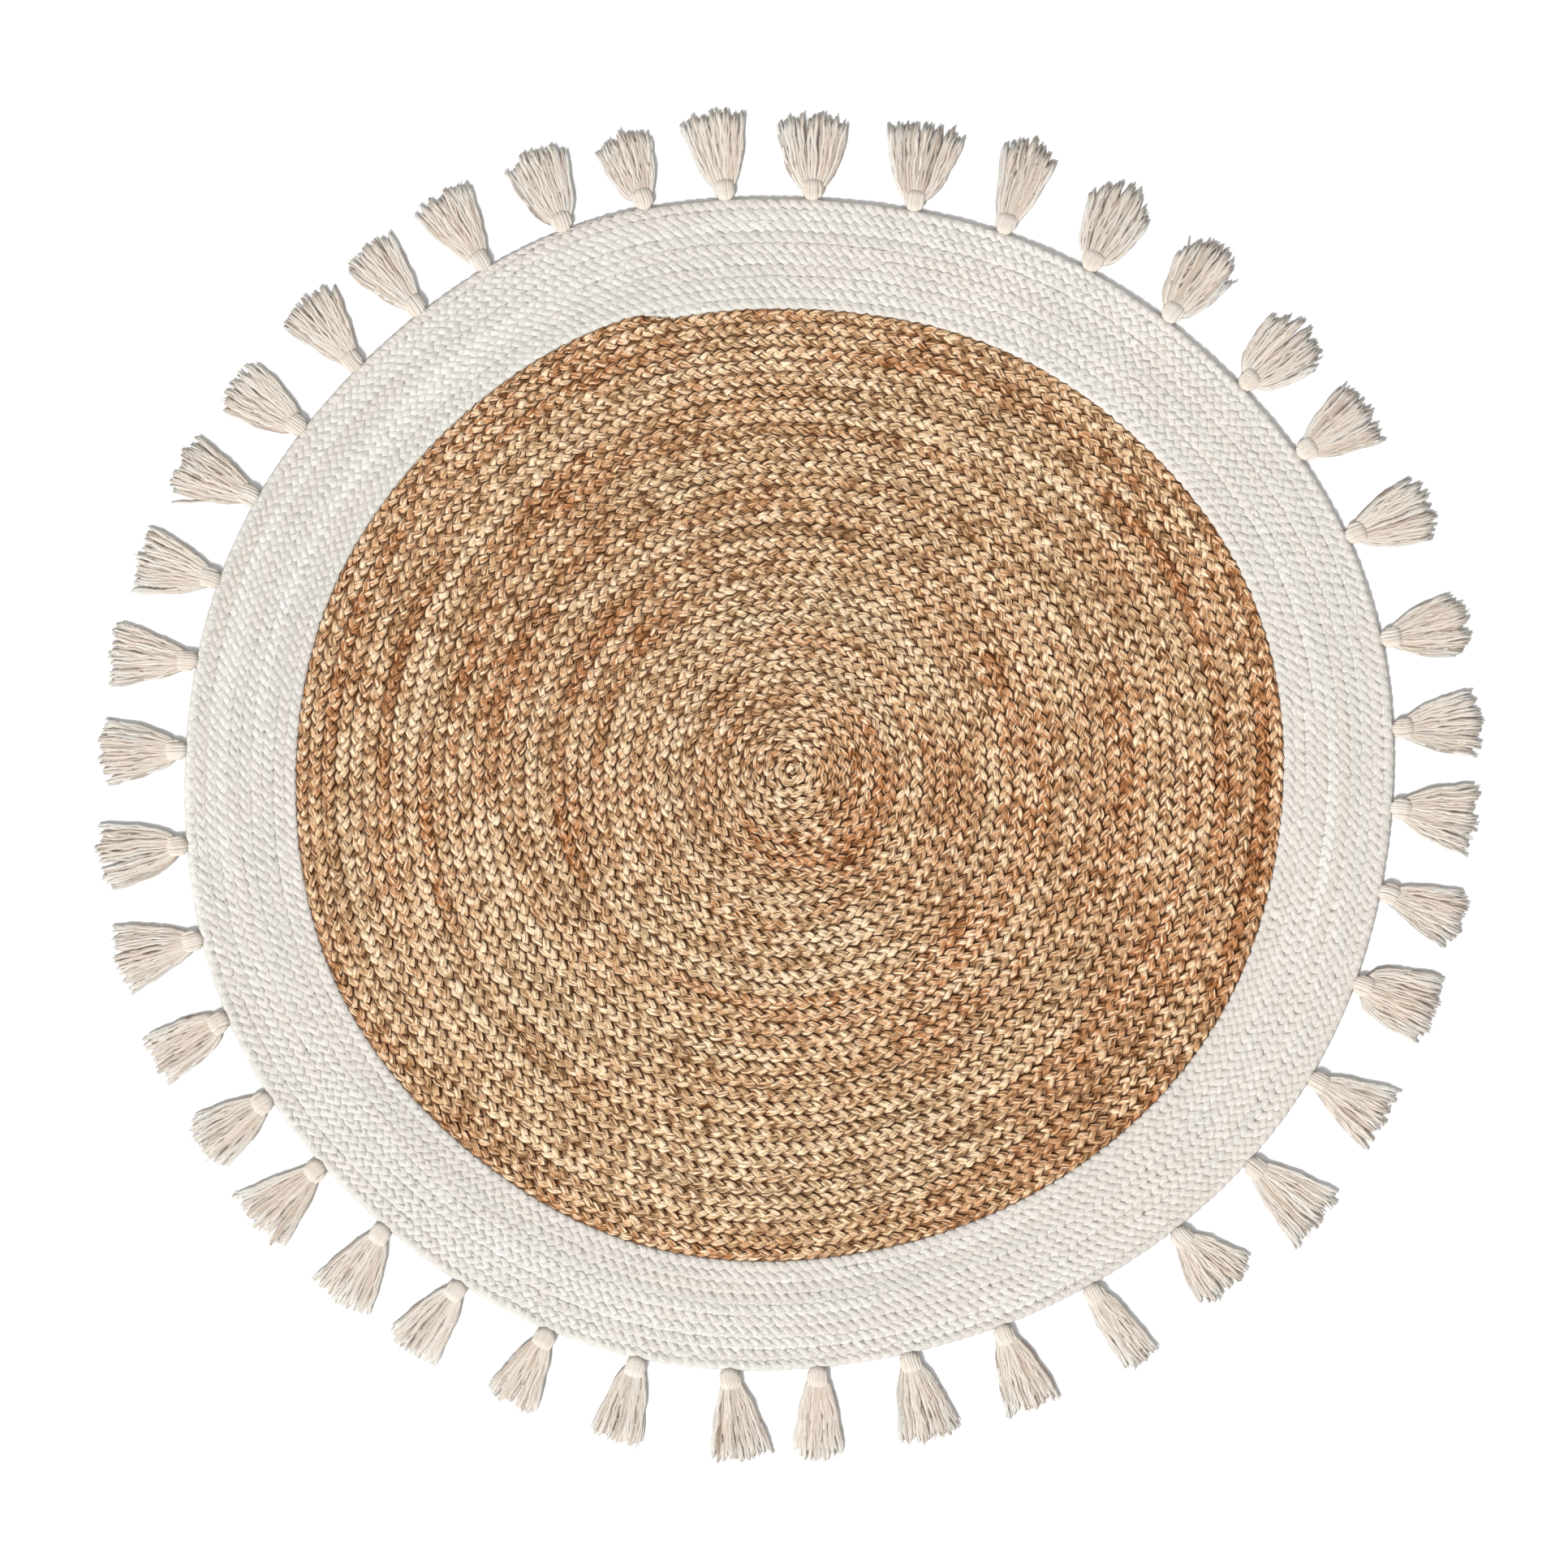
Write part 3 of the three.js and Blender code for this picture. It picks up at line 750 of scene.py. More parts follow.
def streak_group(name):
    """Fibres that run along a strand: noise drawn out along the length, coarse bundles and fine hairs.
    It takes the strand's own map, and how often the bundles change along it and round it."""
    kinds = {"Vector": ("Strand",), "Float": ("Along", "Round", "Twist", "Fine")}
    nodes, given, made = new_group(name, kinds, {"Float": ("Streak", "Height")})
    hairs_to_a_bundle = 3.3
    strand = nodes.add("SeparateXYZ", {0: given["Strand"]})
    length = nodes.math("MULTIPLY", strand[0], given["Along"])
    turned = nodes.math("MULTIPLY_ADD", strand[0], given["Twist"], strand[1])
    angle = nodes.math("MULTIPLY", turned, tau)
    round_x = nodes.math("MULTIPLY", nodes.math("COSINE", angle), given["Round"])
    round_y = nodes.math("MULTIPLY", nodes.math("SINE", angle), given["Round"])
    place = nodes.add("CombineXYZ", {0: length, 1: round_x, 2: round_y})[0]
    bundles, hairs = nodes.noise(place, 1.0), nodes.noise(place, hairs_to_a_bundle)
    both = nodes.math("MULTIPLY_ADD", hairs, given["Fine"], bundles)
    streak = nodes.math("DIVIDE", both, nodes.math("ADD", given["Fine"], 1.0))
    sharp = nodes.add("MapRange", {"Value": streak, "From Min": 0.3, "From Max": 0.7})
    nodes.feed(made["Streak"], sharp[0])
    nodes.feed(made["Height"], streak)
    return nodes.finish()


def hollow_shade_group(name):
    """Painted shade between the strands: how much a point gets by its height, from nothing at the crest to
    all of it at the foot, or by how far round its strand it is from the top, so that the strand's sides are
    shaded, whichever is more. Both limits are frayed by the strand's streaks."""
    kinds = {"Vector": ("Place", "Strand"), "Float": ("Streak", "Foot", "Crest", "Top", "Side shade")}
    nodes, given, made = new_group(name, kinds, {"Float": ("Depth",)})
    frayed_up, frayed_round = 0.001, 0.08
    height = nodes.add("SeparateXYZ", {0: given["Place"]})[2]
    height = nodes.math("ADD", height, nodes.centred(given["Streak"], frayed_up))
    limits = {"From Min": given["Foot"], "From Max": given["Crest"], "To Min": 1.0, "To Max": 0.0}
    # Painted shade: more of it the lower a point lies.
    height_shade = nodes.add("MapRange", {"Value": height, **limits}, interpolation_type="SMOOTHSTEP")[0]
    turned = nodes.add("SeparateXYZ", {0: given["Strand"]})[1]
    # Painted shade on the strand's sides: more of it the farther round from the top.
    beside = nodes.math("ABSOLUTE", nodes.math("SUBTRACT", turned, given["Top"]))
    beside = nodes.math("ADD", beside, nodes.centred(given["Streak"], -frayed_round))
    limits = {"From Min": 0.13, "From Max": 0.27}
    edge = nodes.add("MapRange", {"Value": beside, **limits}, interpolation_type="SMOOTHSTEP")[0]
    edge = nodes.math("MULTIPLY", edge, given["Side shade"])
    nodes.feed(made["Depth"], nodes.math("MAXIMUM", height_shade, edge))
    return nodes.finish()


def tint_group(name):
    """Colour of a fibre. Its hue is middling, warm or cool, by slow patches and the strand's own warmth.
    Over that it is pale or dark by patches, the strand's tone and its streaks, and painted dark as shade in
    the hollows."""
    kinds = {
        "Vector": ("Place",),
        "Float": ("Patches", "Tone", "Warmth", "Streak", "Depth", "Contrast"),
        "Color": SHADES,
    }
    nodes, given, made = new_group(name, kinds, {"Color": ("Color",)})
    tone_reach, hue_reach, hue_shift = 0.6, 1.8, (3.1, 1.7, 0.4)
    tinted, paler, usually_paler, darker = 0.5, 0.45, 0.12, 0.30
    patches = nodes.noise(given["Place"], given["Patches"])
    moved = nodes.add("VectorMath", {0: given["Place"], 1: hue_shift}, operation="ADD")[0]
    hues = nodes.noise(moved, given["Patches"])
    tone = nodes.math("ADD", nodes.centred(patches, tone_reach), given["Tone"])
    tone = nodes.math("MULTIPLY_ADD", nodes.centred(given["Streak"], 1.0), given["Contrast"], tone)
    hue = nodes.math("ADD", nodes.centred(hues, hue_reach), given["Warmth"])
    colour = given["Middle"]
    for shade, share in (
        ("Warm", nodes.math("MULTIPLY", hue, tinted, clamp=True)),
        ("Cool", nodes.math("MULTIPLY", hue, -tinted, clamp=True)),
        ("Pale", nodes.math("MULTIPLY_ADD", tone, paler, usually_paler, clamp=True)),
        ("Dark", nodes.math("MULTIPLY", tone, -darker, clamp=True)),
        # Painted shade: the hollows and the strands' sides are mixed towards the dark colour.
        ("Dark", given["Depth"]),
    ):
        colour = nodes.mix(share, colour, given[shade])
    nodes.feed(made["Color"], colour)
    return nodes.finish()


def opaque(colour):
    return (*colour, 1.0)


def new_material(name, inputs_of):
    """A material of one Principled shader, whose inputs come from the function that is given."""
    material = bpy.data.materials.new(name)
    material.use_nodes = True
    material.node_tree.nodes.clear()
    nodes = Nodes(material.node_tree)
    shader = nodes.add("BsdfPrincipled", inputs_of(nodes))
    nodes.add("OutputMaterial", {"Surface": shader[0]})
    nodes.finish()
    return material


def fibre_material(name, fibre, streaks, hollows, tint, relief, finish):
    """A dry plant fibre: streaked and patchy colour, shade painted dark in its hollows, and a bump along
    its streaks. What is given are the groups' and the shader's values."""
    colours = bpy.context.scene.round_rug.colours
    shades = {shade: opaque(getattr(colours, f"{fibre}_{shade.lower()}")) for shade in SHADES}
    roughest, smoother = 0.92, 0.2

    def inputs_of(nodes):
        place = nodes.add("TexCoord", {})["Object"]
        strand = nodes.add("UVMap", {}, uv_map="Strand")[0]
        streak = nodes.group("Fibre streaks", streak_group, {"Strand": strand, **streaks})
        shared = {"Place": place, "Streak": streak["Streak"]}
        # Painted shade in the hollows and on the strands' sides.
        hollow_shade = nodes.group("Hollows", hollow_shade_group, {"Strand": strand, **shared, **hollows})
        tone = nodes.add("Attribute", {}, attribute_name="tone")["Fac"]
        warmth = nodes.add("Attribute", {}, attribute_name="warmth")["Fac"]
        own = {"Tone": tone, "Warmth": warmth, "Depth": hollow_shade["Depth"]}
        colour = nodes.group("Fibre colour", tint_group, {**shared, **own, **tint, **shades})
        return {
            "Base Color": colour["Color"],
            "Roughness": nodes.math("MULTIPLY_ADD", streak["Streak"], -smoother, roughest),
            "Normal": nodes.bump(streak["Height"], *relief),
            "IOR": 1.5,
            "Sheen Roughness": 0.5,
            **finish,
        }

    return bpy.data.materials.get(name) or new_material(name, inputs_of)


def jute_material():
    """Natural jute: long coarse fibres with hardly any twist, straw to reddish brown."""
    return fibre_material(
        "Jute fibre",
        "jute",
        streaks={"Along": 90.0, "Round": 1.3, "Twist": 8.0, "Fine": 0.2},
        # Painted shade: the heights and the turn round the strand over which the jute is darkened.
        hollows={"Foot": 0.0026, "Crest": 0.0070, "Top": 0.3, "Side shade": 0.9},
        tint={"Patches": 14.0, "Contrast": 3.4},
        relief=(1.0, 0.007),
        finish={"Specular IOR Level": 0.1, "Sheen Weight": 0.0},
    )


def bleached_material():
    """The same fibre bleached: nearly white, with faintly tinted lengths and shade painted grey in its
    hollows.
    """
    return fibre_material(
        "Bleached fibre",
        "white",
        streaks={"Along": 110.0, "Round": 0.9, "Twist": 8.0, "Fine": 0.2},
        # Painted shade: the heights and the turn round the strand over which the border is greyed.
        hollows={"Foot": 0.0, "Crest": 0.004, "Top": 0.3, "Side shade": 0.2},
        tint={"Patches": 12.0, "Contrast": 1.0},
        relief=(1.0, 0.0015),
        finish={"Specular IOR Level": 0.25, "Sheen Weight": 0.1},
    )


def cotton_material():
    """Soft cotton yarn: a few plies twisted together, ecru."""
    return fibre_material(
        "Cotton yarn",
        "cotton",
        streaks={"Along": 60.0, "Round": 1.6, "Twist": 90.0, "Fine": 0.4},
        # Painted shade: the heights over which the lower yarns are darkened, and their sides.
        hollows={"Foot": -0.0005, "Crest": 0.0026, "Top": 0.25, "Side shade": 0.25},
        tint={"Patches": 30.0, "Contrast": 0.5},
        relief=(0.8, 0.0009),
        finish={"Specular IOR Level": 0.2, "Sheen Weight": 0.2},
    )


def ground_material(name, dark, pale):
    """The inner layer seen between strands, coloured as painted shade: dull, with a loose fibrous mottle.
    """
    sharpness, darkened = 5.0, 2.1

    def inputs_of(nodes):
        mottle = nodes.noise(nodes.add("TexCoord", {})["Object"], scale=330.0, detail=3.0)
        clump = nodes.math("MULTIPLY_ADD", mottle, sharpness, -darkened, clamp=True)
        return {
            "Base Color": nodes.mix(clump, opaque(dark), opaque(pale)),
            "Roughness": 0.95,
            "Specular IOR Level": 0.1,
            "Normal": nodes.bump(mottle, strength=0.6, distance=0.001),
        }

    return new_material(name, inputs_of)


# Tassels


# The skirt's layers, from the floor up: yarns in each, how thick as a share of the yarn's own size,
# their height at the shoulder and the tips, how pale they are, the lower layers painted darker as the
# shade under the upper ones, and whether they part.
SKIRT_LAYERS = table(
    "yarns thick shoulder tips pale parts",
    (16, 1.4, 0.0022, 0.0020, -1.5, False),
    (22, 1.0, 0.0037, 0.0028, -0.4, True),
    (26, 1.0, 0.0056, 0.0038, 0.2, True),
)

# What a tassel's random draws start from, before its own number is added.
TASSEL_SEED = 4100


class TasselPlace:
    """Where a tassel is looped on, the way it faces and leans, and the middles and tips of its locks, as
    its CAD node says. It is in local sizes: out from the rim, sideways and up."""

    # Out from the rim: where the bend into its lean starts and ends, and where the head has ended. How
    # far in its root lies, and the heights of its locks' ridge corners, which are met that nearly.
    bend_from, bend_to, head_end = 0.004, 0.016, 0.024
    root_inset, middle_height, tip_height, nearly = 0.0005, 0.007, 0.0045, 0.0001

    def __init__(self, node):
        mesh = CAD_NODES[node].data
        spots = np.empty(len(mesh.vertices) * 3, dtype=np.float32)
        mesh.vertices.foreach_get("co", spots)
        spots = np.unique(spots.reshape(-1, 3).astype(float).round(6), axis=0)
        foot = spots[spots[:, 2] < self.nearly, :2]
        near = foot[np.argsort(np.linalg.norm(foot, axis=1))[:2]]
        along = unit(near[1] - near[0])
        out = np.array((along[1], -along[0]))
        self.out = out if out @ near[0] > 0 else -out
        self.left = np.array((-self.out[1], self.out[0]))
        self.root = near.mean(axis=0) - self.root_inset * self.out
        self.lean = 0.0
        tips = self.local(self.ridge(spots, self.tip_height))
        middle_tip = tips[np.argsort(np.arctan2(tips[:, 1], tips[:, 0]))[len(tips) // 2]]
        self.lean = float(np.arctan2(middle_tip[1], middle_tip[0]))
        self.tips = self.sorted_locks(spots, self.tip_height)
        self.middles = self.sorted_locks(spots, self.middle_height)

    def ridge(self, spots, height):
        """The corners of the locks' ridge lines at one height, beyond the head."""
        beyond = (spots[:, :2] - self.root) @ self.out > self.head_end
        return spots[beyond & (abs(spots[:, 2] - height) < self.nearly), :2]

    def local(self, places):
        """Distance out from the bend and sideways, turned back by the lean."""
        from_bend = places - self.root - self.bend_from * self.out
        x, y = from_bend @ self.out, from_bend @ self.left
        return np.stack(
            (x * cos(self.lean) + y * sin(self.lean), y * cos(self.lean) - x * sin(self.lean)), axis=-1
        )

    def sorted_locks(self, spots, height):
        """The locks' ridge corners at one height, from right to left: distances out, and sideways."""
        corners = self.local(self.ridge(spots, height))
        out, side = corners[np.argsort(corners[:, 1])].T
        return out + self.bend_from, side

    def in_rug(self, out, side, up):
        """Local sizes turned into places: the sideways line leans over between two distances out."""
        out, side, up = np.broadcast_arrays(out, side, up)
        share = np.clip((out - self.bend_from) / (self.bend_to - self.bend_from), 0, 1)
        bend, reach = self.lean * share, out - self.bend_from
        x = self.bend_from + reach * np.cos(bend) - side * np.sin(bend)
        y = reach * np.sin(bend) + side * np.cos(bend)
        flat = self.root + x[..., None] * self.out + y[..., None] * self.left
        return np.concatenate([flat, up[..., None]], axis=-1)


class Hank:
    """A bundle of a tassel's yarns. Its kind says where they run, in their paths, radii, tones and
    warmths."""

    # A yarn's own map starts at a random length up to this one, so that no two are streaked alike.
    streak_start = 4

    def __init__(self, place, sizes, rng):
        self.place, self.sizes, self.rng = place, sizes, rng

    def tubes(self):
        """The yarns' rings, lengths along from a start of their own, tones and warmths. Their section is
        a circle of even sides."""
        path, radius, tone, warmth = self.yarns()
        steps = np.linalg.norm(np.diff(path, axis=1), axis=2)
        along = np.concatenate([np.zeros((len(path), 1)), np.cumsum(steps, axis=1)], axis=1)
        along = along + self.rng.uniform(0, self.streak_start, (len(path), 1))
        angles = tau * np.arange(self.sides) / self.sides
        section = np.stack((np.cos(angles), np.sin(angles)), axis=-1)
        return carried_section(path, radius, radius, section), along, tone, warmth


class Skirt(Hank):
    """The skirt: yarns that start pressed together in the head and fan out to the tips of the locks.
    Towards the tips they are drawn together in tufts, and at a few places they part."""

    sides, ring_count = 4, 9
    # Where the yarns start, where they begin to fan out and half the width there, and how much wider the
    # skirt is than its outermost locks' middles.
    start, neck, neck_half, fuller = 0.008, 0.012, 0.0085, 1.12
    # Partings: how many, how far across, how wide, where they begin and end on the way out, and how far
    # from one the yarns give way.
    parting_count, parting_fade = 4, 0.15
    parting_spans = ((-0.75, 0.75), (0.01, 0.06), (0.15, 0.4), (0.7, 1.1))
    # How unevenly a layer's yarns are spaced, and the least and most that their lengths differ.
    crowding, shortest, longest = 0.6, -0.14, 0.05
    # Waves: radians a metre, how far they go sideways and up, and how the upward ones differ.
    wave_span, sway, bob, bob_pace, bob_ahead = (130, 240), 0.0009, 0.0006, 1.7, 1.0
    # Strays: which share of the yarns they are, and how far they and the others go off their line.
    strays, stray_reach, usual_reach = 0.07, 0.005, 0.0012
    # How much lower the outermost yarns lie, over how much of the way they come loose and grow to their
    # full size, what of it they start with and end with, and what strays and the others have of it.
    crown, loosened, start_share, tip_share = 0.25, 1 / 3, 0.7, 0.6
    stray_share, usual_share = 0.5, (0.85, 1.12)
    # Colour: how much a layer's tone, with the lower layers' painted shade, fades at the tips and how much
    # yarns differ in it, then how warm they are, how much they differ in that, and how much greyer the
    # tips, as painted shade, and the outermost ones are.
    tone_fade, tone_spread = 0.7, 0.7
    warm, warm_spread, grey_tips, grey_sides = 0.3, 0.5, 1.2, 1.1

    def __init__(self, place, sizes, rng):
        """Half the skirt's width grows from the neck as that power of the way out which takes it through
        the locks' middles."""
        super().__init__(place, sizes, rng)
        (middle_out, middle_side), (self.tip_out, tip_side) = place.middles, place.tips
        self.centre = (tip_side[0] + tip_side[-1]) / 2
        self.tip_half, middle_half = (self.fuller * np.ptp(side) / 2 for side in (tip_side, middle_side))
        self.far = self.tip_out.max() - self.neck
        grown = np.log((middle_half - self.neck_half) / (self.tip_half - self.neck_half))
        self.power = grown / np.log((middle_out.mean() - self.neck) / self.far)
        drawn = [rng.uniform(*span, self.parting_count) for span in self.parting_spans]
        self.partings = list(zip(*drawn))

    def half_width(self, out):
        """Half the width between the outermost yarns' middles, at distances out."""
        opened = np.clip((out - self.neck) / self.far, 0, 1) ** self.power
        return self.neck_half + (self.tip_half - self.neck_half) * opened - self.sizes.yarn_radius

    def parted(self, spot, way):
        """Yarns pushed apart at each parting, less so the farther they are from it. A parting opens and
        closes along its length as half a sine wave."""
        for middle, width, first, last in self.partings:
            beside = spot - middle
            opening = width * np.sin(pi * np.clip((way - first) / (last - first), 0, 1))
            spot = spot + np.sign(beside) * np.exp(-np.abs(beside) / self.parting_fade) * opening
        return spot

    def layer(self, yarns, thick, shoulder, tips, pale, parts):
        """The yarns of one layer: their paths, radii, tones and warmths."""
        rng, sizes, each = self.rng, self.sizes, (yarns, 1)
        way = np.linspace(0, 1, self.ring_count)[None]
        loose = np.clip(way / self.loosened, 0, 1)
        spot = np.linspace(-1, 1, yarns) + rng.normal(0, self.crowding / yarns, yarns)
        spot = np.clip(spot, -1, 1)[:, None]
        last = len(self.tip_out) - 1
        lock = (spot + 1) / 2 * last
        reach = np.interp(lock, np.arange(last + 1), self.tip_out)
        reach = reach * (1 + rng.normal(0, sizes.uneven, each).clip(self.shortest, self.longest))
        out = self.start + way * (reach - self.start)
        tufted = spot + (np.round(lock) - lock) * 2 / last * sizes.tufting * way**2
        if parts:
            tufted = self.parted(tufted, way)
        wave = rng.uniform(0, tau, each) + out * rng.uniform(*self.wave_span, each)
        side = self.centre * way + tufted * self.half_width(out) + self.sway * np.sin(wave) * loose
        stray = rng.random(each) > 1 - self.strays
        astray = np.where(stray, self.stray_reach, self.usual_reach) * rng.normal(0, 1, each)
        up = (shoulder + (tips - shoulder) * way) * (1 - self.crown * spot**2)
        up = up + self.bob * np.sin(self.bob_pace * wave + self.bob_ahead) * loose
        radius = thick * sizes.yarn_radius * (self.start_share + (1 - self.start_share) * loose)
        radius = radius * np.where(way < 1, 1.0, self.tip_share)
        radius = radius * np.where(stray, self.stray_share, rng.uniform(*self.usual_share, each))
        path = self.place.in_rug(out, side + astray * way**3, np.maximum(up, radius))
        # The lower layers' tone is painted shade under the upper ones, fading towards the tips.
        tone = pale * (1 - self.tone_fade * way**3) + rng.normal(0, self.tone_spread, each)
        # The tips are painted greyer as shade; the outermost yarns are greyer too.
        greyer = self.grey_tips * way**4 + self.grey_sides * np.abs(spot) ** 5
        return path, radius, tone, self.warm + rng.normal(0, self.warm_spread, each) - greyer

    def yarns(self):
        """All the layers' yarns, one after the other."""
        return [np.concatenate(parts) for parts in zip(*(self.layer(**row) for row in SKIRT_LAYERS))]


class Head(Hank):
    """The head: a hank folded over the rim, its yarns pressed side by side and a little askew."""

    sides, ring_count, count = 6, 12, 8
    # Heights over the floor: where a yarn leaves the border, on top of the outermost ones, and where it
    # ends in the skirt.
    foot, edge_crest, under = 0.0040, 0.0042, 0.0020
    # Up to where on its way a yarn rises, and from where on it sinks.
    risen, sinks = 0.3, 0.6
    # The dome's half width in half heads, how drawn in the outer end is next to the folded one, and how
    # unevenly the yarns are spaced.
    dome_half, outer_end, crowding = 1 / 0.9, 0.5, 0.05
    # How askew the hank lies, each yarn on its own, and how that one waves on its way.
    skew, own_skew, own_waves = 0.12, 0.04, 4
    # What a yarn has of its place across and its radius where it rises, and loses of them where it sinks.
    foot_spread, foot_thick, sunk_spread, sunk_thick = 0.8, 0.75, 0.1, 0.4
    # How pale and how warm the yarns are, and how much they differ.
    pale, pale_spread, warm, warm_spread = 0.5, 0.2, -0.1, 0.3

    def yarns(self):
        """Seen from above, the folded end is half an ellipse and so, more flatly, is the other end. Each
        yarn rises out of the border in a quarter circle, lies on a low dome, which is highest in the
        middle, and sinks into the skirt."""
        sizes, rng, each = self.sizes, self.rng, (self.count, 1)
        spot = np.linspace(-1, 1, self.count)[:, None] + rng.normal(0, self.crowding, each)
        way = np.linspace(0, 1, self.ring_count)[None]
        dome = np.sqrt(1 - np.minimum(np.abs(spot) / self.dome_half, 1) ** 2)
        drawn_in = sizes.head_half_width * (1 - dome)
        start, end = drawn_in - sizes.head_apex, sizes.head_length - self.outer_end * drawn_in
        rise = np.sqrt(1 - np.clip(1 - way / self.risen, 0, 1) ** 2)
        sink = np.clip((way - self.sinks) / (1 - self.sinks), 0, 1) ** 2
        askew = rng.normal(0, self.skew) * (way - 0.5) * dome
        askew = askew + rng.normal(0, self.own_skew, each) * np.sin(self.own_waves * way)
        spread = (self.foot_spread + (1 - self.foot_spread) * rise) * (1 - self.sunk_spread * sink)
        crest = self.edge_crest + (sizes.head_crest - self.edge_crest) * dome
        up = (self.foot + (crest - self.foot) * rise) * (1 - sink) + self.under * sink
        side = sizes.head_half_width * (spot + askew) * spread
        path = self.place.in_rug(start + (end - start) * way, side, up)
        thick = (self.foot_thick + (1 - self.foot_thick) * rise) * (1 - self.sunk_thick * sink)
        tone = self.pale + rng.normal(0, self.pale_spread, each)
        return path, thick * sizes.head_radius, tone, self.warm + rng.normal(0, self.warm_spread, each)


def tassel_mesh(name, node, sizes):
    """One tassel: head and skirt, every yarn a section carried along its own path."""
    rng = np.random.default_rng(TASSEL_SEED + int(node.split("_")[1]))
    place = TasselPlace(node)
    return tube_mesh(name, [hank(place, sizes, rng).tubes() for hank in (Skirt, Head)])


# Floor, light and camera


def add_floor(scene, studio):
    """A square floor, just under the rug."""

    def inputs_of(nodes):
        return {"Base Color": opaque(studio.floor_colour), "Roughness": 0.9, "Specular IOR Level": 0.0}

    half, level = studio.floor_half, -studio.floor_drop
    corners = [(half * x, half * y, level) for x, y in ((-1, -1), (1, -1), (1, 1), (-1, 1))]
    mesh = bpy.data.meshes.new("floor")
    mesh.from_pydata(corners, [], [(0, 1, 2, 3)])
    mesh.materials.append(new_material("Floor paint", inputs_of))
    floor = bpy.data.objects.new("floor", mesh)
    scene.collection.objects.link(floor)


def add_light(scene, studio):
    """An even white surround, and a soft key light, which lights the floor as strongly from any height."""
    world = bpy.data.worlds.new("Studio")
    scene.world = world
    world.use_nodes = True
    surround = world.node_tree.nodes["Background"].inputs
    surround["Color"].default_value = (1.0, 1.0, 1.0, 1.0)
    surround["Strength"].default_value = studio.fill_strength
    lamp = bpy.data.lights.new("Key", "SUN")
    lamp.energy = studio.key_strength * pi / sin(studio.key_elevation)
    lamp.angle = studio.key_width
    key = bpy.data.objects.new("Key", lamp)
    level = cos(studio.key_elevation)
    bearing = studio.key_bearing
    towards = Vector((level * cos(bearing), level * sin(bearing), sin(studio.key_elevation)))
    key.location = 3 * towards
    key.rotation_euler = towards.to_track_quat("Z", "Y").to_euler()
    scene.collection.objects.link(key)


def add_camera(scene, studio):
    """A long lens straight above the rug."""
    lens = bpy.data.cameras.new("Camera")
    lens.lens, lens.sensor_width = 100, 36
    lens.clip_end = 50
    camera = bpy.data.objects.new("Camera", lens)
    camera.location = (studio.camera_x, studio.camera_y, studio.camera_height)
    scene.collection.objects.link(camera)
    scene.camera = camera
    scene.view_settings.view_transform = "Standard"


# Operators


class RUG_OT_jute_field(Operator):
    """Plaits the field: three strands of natural jute and the layer between them"""

    bl_idname = "rug.jute_field"
    bl_label = "Jute field"

    def execute(self, context):
        rug = context.scene.round_rug
        coil, plait, rows, colours = Coil(rug.coil), rug.plait, rug.coil.jute_rows, rug.colours
        braid = Braid(
            plait,
            coil.jute_edges,
            first=-1.0,
            last=rows,
            pitch=coil.jute_pitch,
            crest=plait.jute_crest,
            fuller=0.0,
            limits=(plait.jute_reach, plait.jute_reach, plait.joint_line),
            seed=100,
            warmth_at=jute_warmth_and_sheen,
        )
        strands = add_strands("jute", braid, jute_material(), "jute_field")
        outer = coil.closed_loop(rows, coil.joint_radius, -rug.coil.joint_gap)
        inner = np.broadcast_to(coil.place(0.0, 0.0), outer.shape)
        mesh = layer_mesh("jute_ground", inner, outer, *JUTE_LAYER)
        # The inner layer is painted shade: the hollows' dark colour and a darkened jute.
        shaded = [JUTE_SHADE * part for part in colours.jute_middle]
        material = ground_material("Jute ground", colours.jute_dark, shaded)
        ground = add_piece("jute_ground", mesh, material, "jute_field")
        return {"FINISHED"}


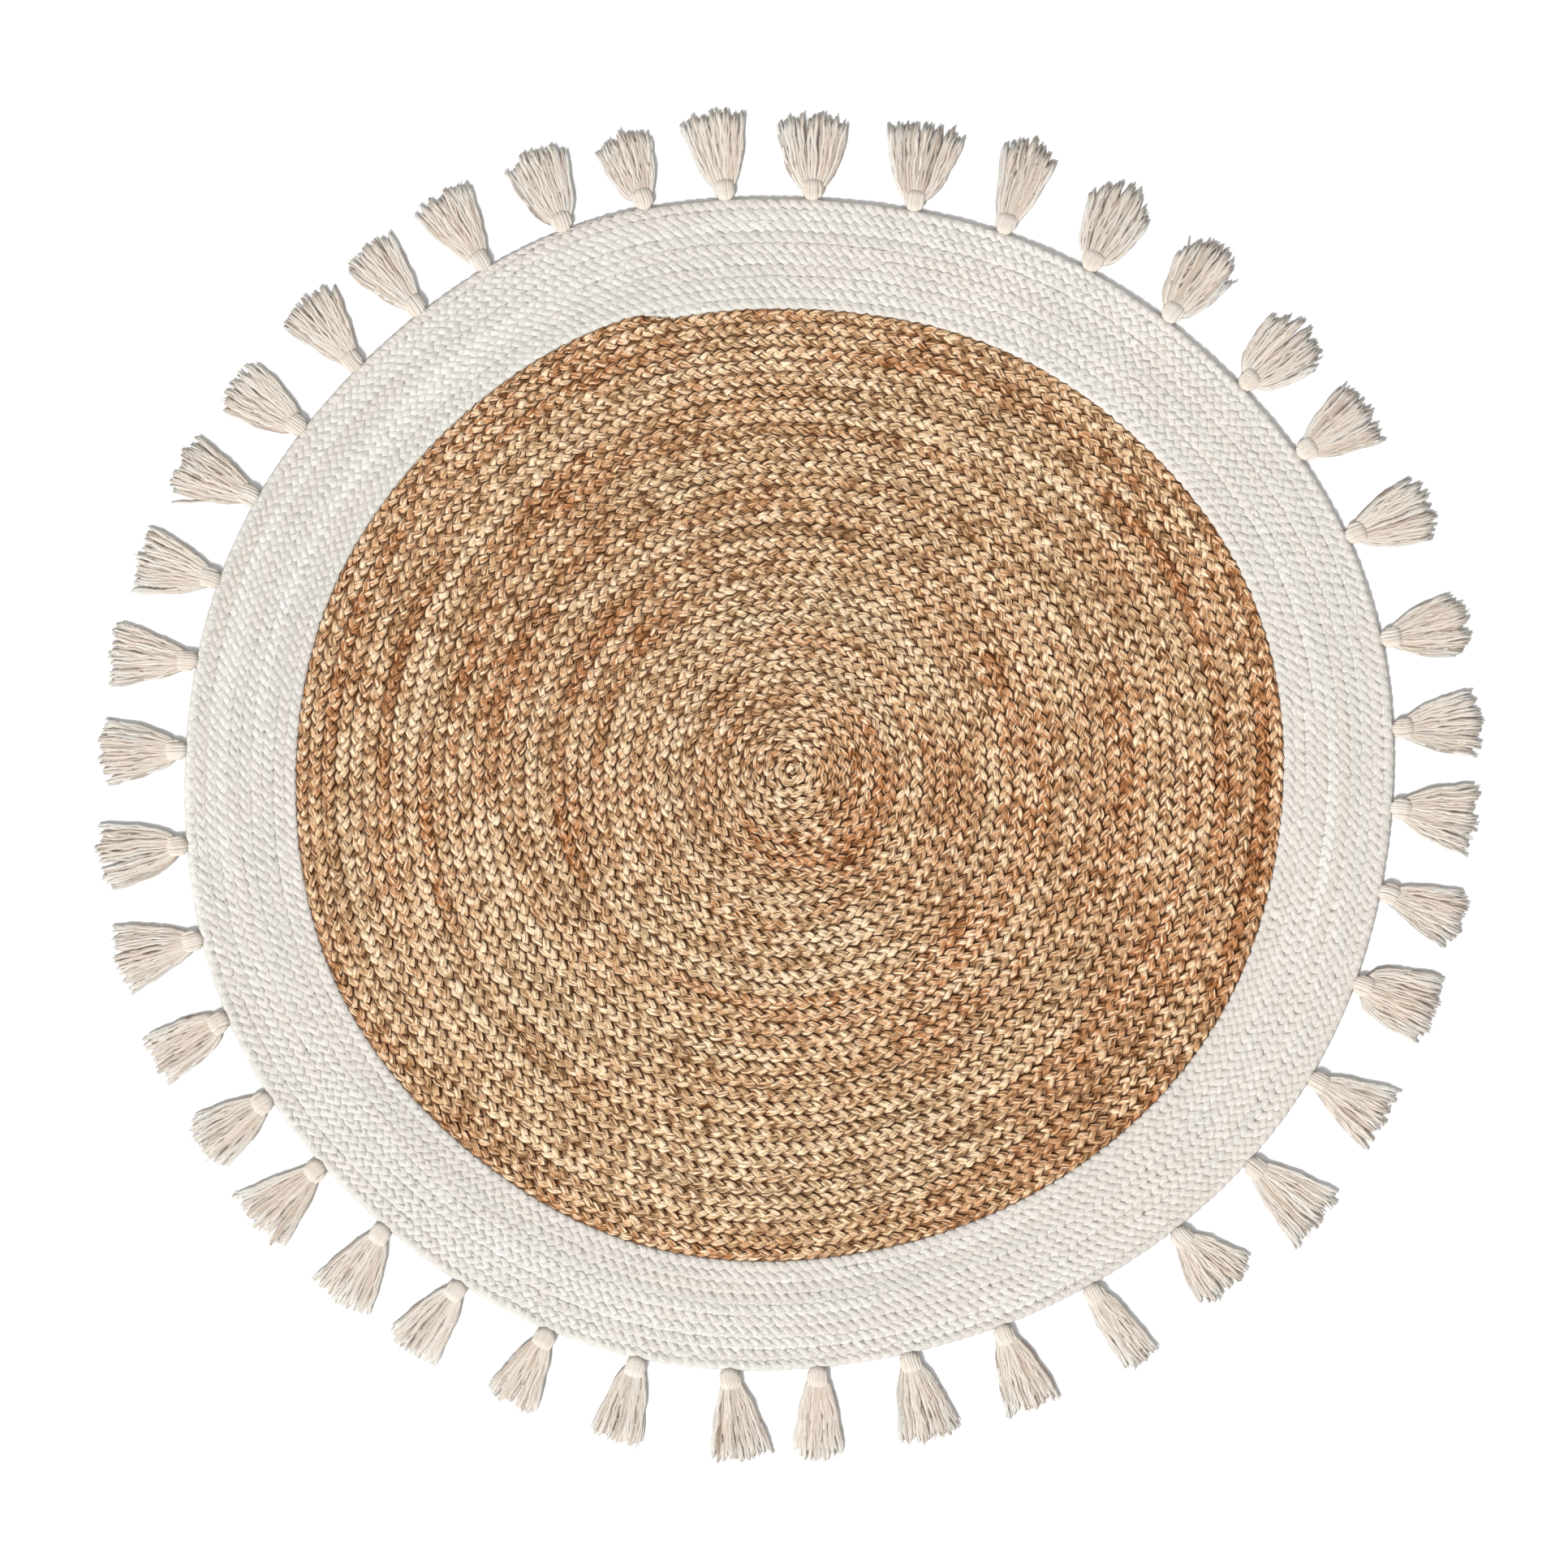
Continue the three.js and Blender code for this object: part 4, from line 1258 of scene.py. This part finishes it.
class RUG_OT_white_border(Operator):
    """Plaits the border: three strands of bleached fibre and the layer between them"""

    bl_idname = "rug.white_border"
    bl_label = "White border"

    def execute(self, context):
        rug = context.scene.round_rug
        coil, plait, rows, colours = Coil(rug.coil), rug.plait, rug.coil.jute_rows, rug.colours
        braid = Braid(
            plait,
            coil.white_edges,
            first=rows - rug.coil.taper,
            last=coil.rim_turn,
            pitch=coil.white_pitch,
            crest=plait.white_crest,
            fuller=plait.white_fuller,
            limits=(plait.white_reach, plait.joint_line, plait.rim_line),
            seed=700,
            warmth_at=white_warmth,
        )
        strands = add_strands("white", braid, bleached_material(), "white_border")
        inner = coil.closed_loop(rows, coil.joint_radius, 0)
        outer = coil.closed_loop(coil.rim_turn, coil.rim_radius, -RIM_INSET)
        mesh = layer_mesh("white_ground", inner, outer, *WHITE_LAYER)
        # The inner layer is painted shade: the hollows' grey and the border's colour.
        material = ground_material("Bleached ground", colours.white_dark, colours.white_middle)
        ground = add_piece("white_ground", mesh, material, "white_border")
        return {"FINISHED"}


class RUG_OT_tassels(Operator):
    """Loops the cotton tassels through the rim"""

    bl_idname = "rug.tassels"
    bl_label = "Tassels"

    def execute(self, context):
        sizes = context.scene.round_rug.tassel
        for node in TASSEL_NODES:
            name = node + "_yarn"
            add_piece(name, tassel_mesh(name, node, sizes), cotton_material(), node)
        return {"FINISHED"}


class RUG_OT_stage(Operator):
    """Sets the pale floor, the soft light and the camera straight above"""

    bl_idname = "rug.stage"
    bl_label = "Floor, light and camera"

    def execute(self, context):
        for add in (add_floor, add_light, add_camera):
            add(context.scene, context.scene.round_rug.studio)
        return {"FINISHED"}


OPERATORS = (RUG_OT_jute_field, RUG_OT_white_border, RUG_OT_tassels, RUG_OT_stage)


class RUG_PT_panel(Panel):
    """Lists the rug's pieces and its sizes in the sidebar"""

    bl_idname = "RUG_PT_panel"
    bl_label = "Round plaited rug"
    bl_space_type = "VIEW_3D"
    bl_region_type = "UI"
    bl_category = "Rug"

    def draw(self, context):
        rug = context.scene.round_rug
        for operator in OPERATORS:
            self.layout.operator(operator.bl_idname)
        for group in (rug.coil, rug.plait, rug.tassel, rug.colours, rug.studio):
            box = self.layout.box()
            for name in group.bl_rna.properties.keys():
                if name not in {"rna_type", "name"}:
                    box.prop(group, name)


SIZE_GROUPS = (CoilSizes, PlaitSizes, TasselSizes, FibreColours, StudioSizes, RoundRug)


def register():
    for kind in (*SIZE_GROUPS, *OPERATORS, RUG_PT_panel):
        bpy.utils.register_class(kind)
    bpy.types.Scene.round_rug = PointerProperty(type=RoundRug)


def unregister():
    del bpy.types.Scene.round_rug
    for kind in reversed((*SIZE_GROUPS, *OPERATORS, RUG_PT_panel)):
        bpy.utils.unregister_class(kind)


def main():
    register()
    bpy.ops.rug.jute_field()
    bpy.ops.rug.white_border()
    bpy.ops.rug.tassels()
    bpy.ops.rug.stage()


if __name__ == "__main__":
    main()
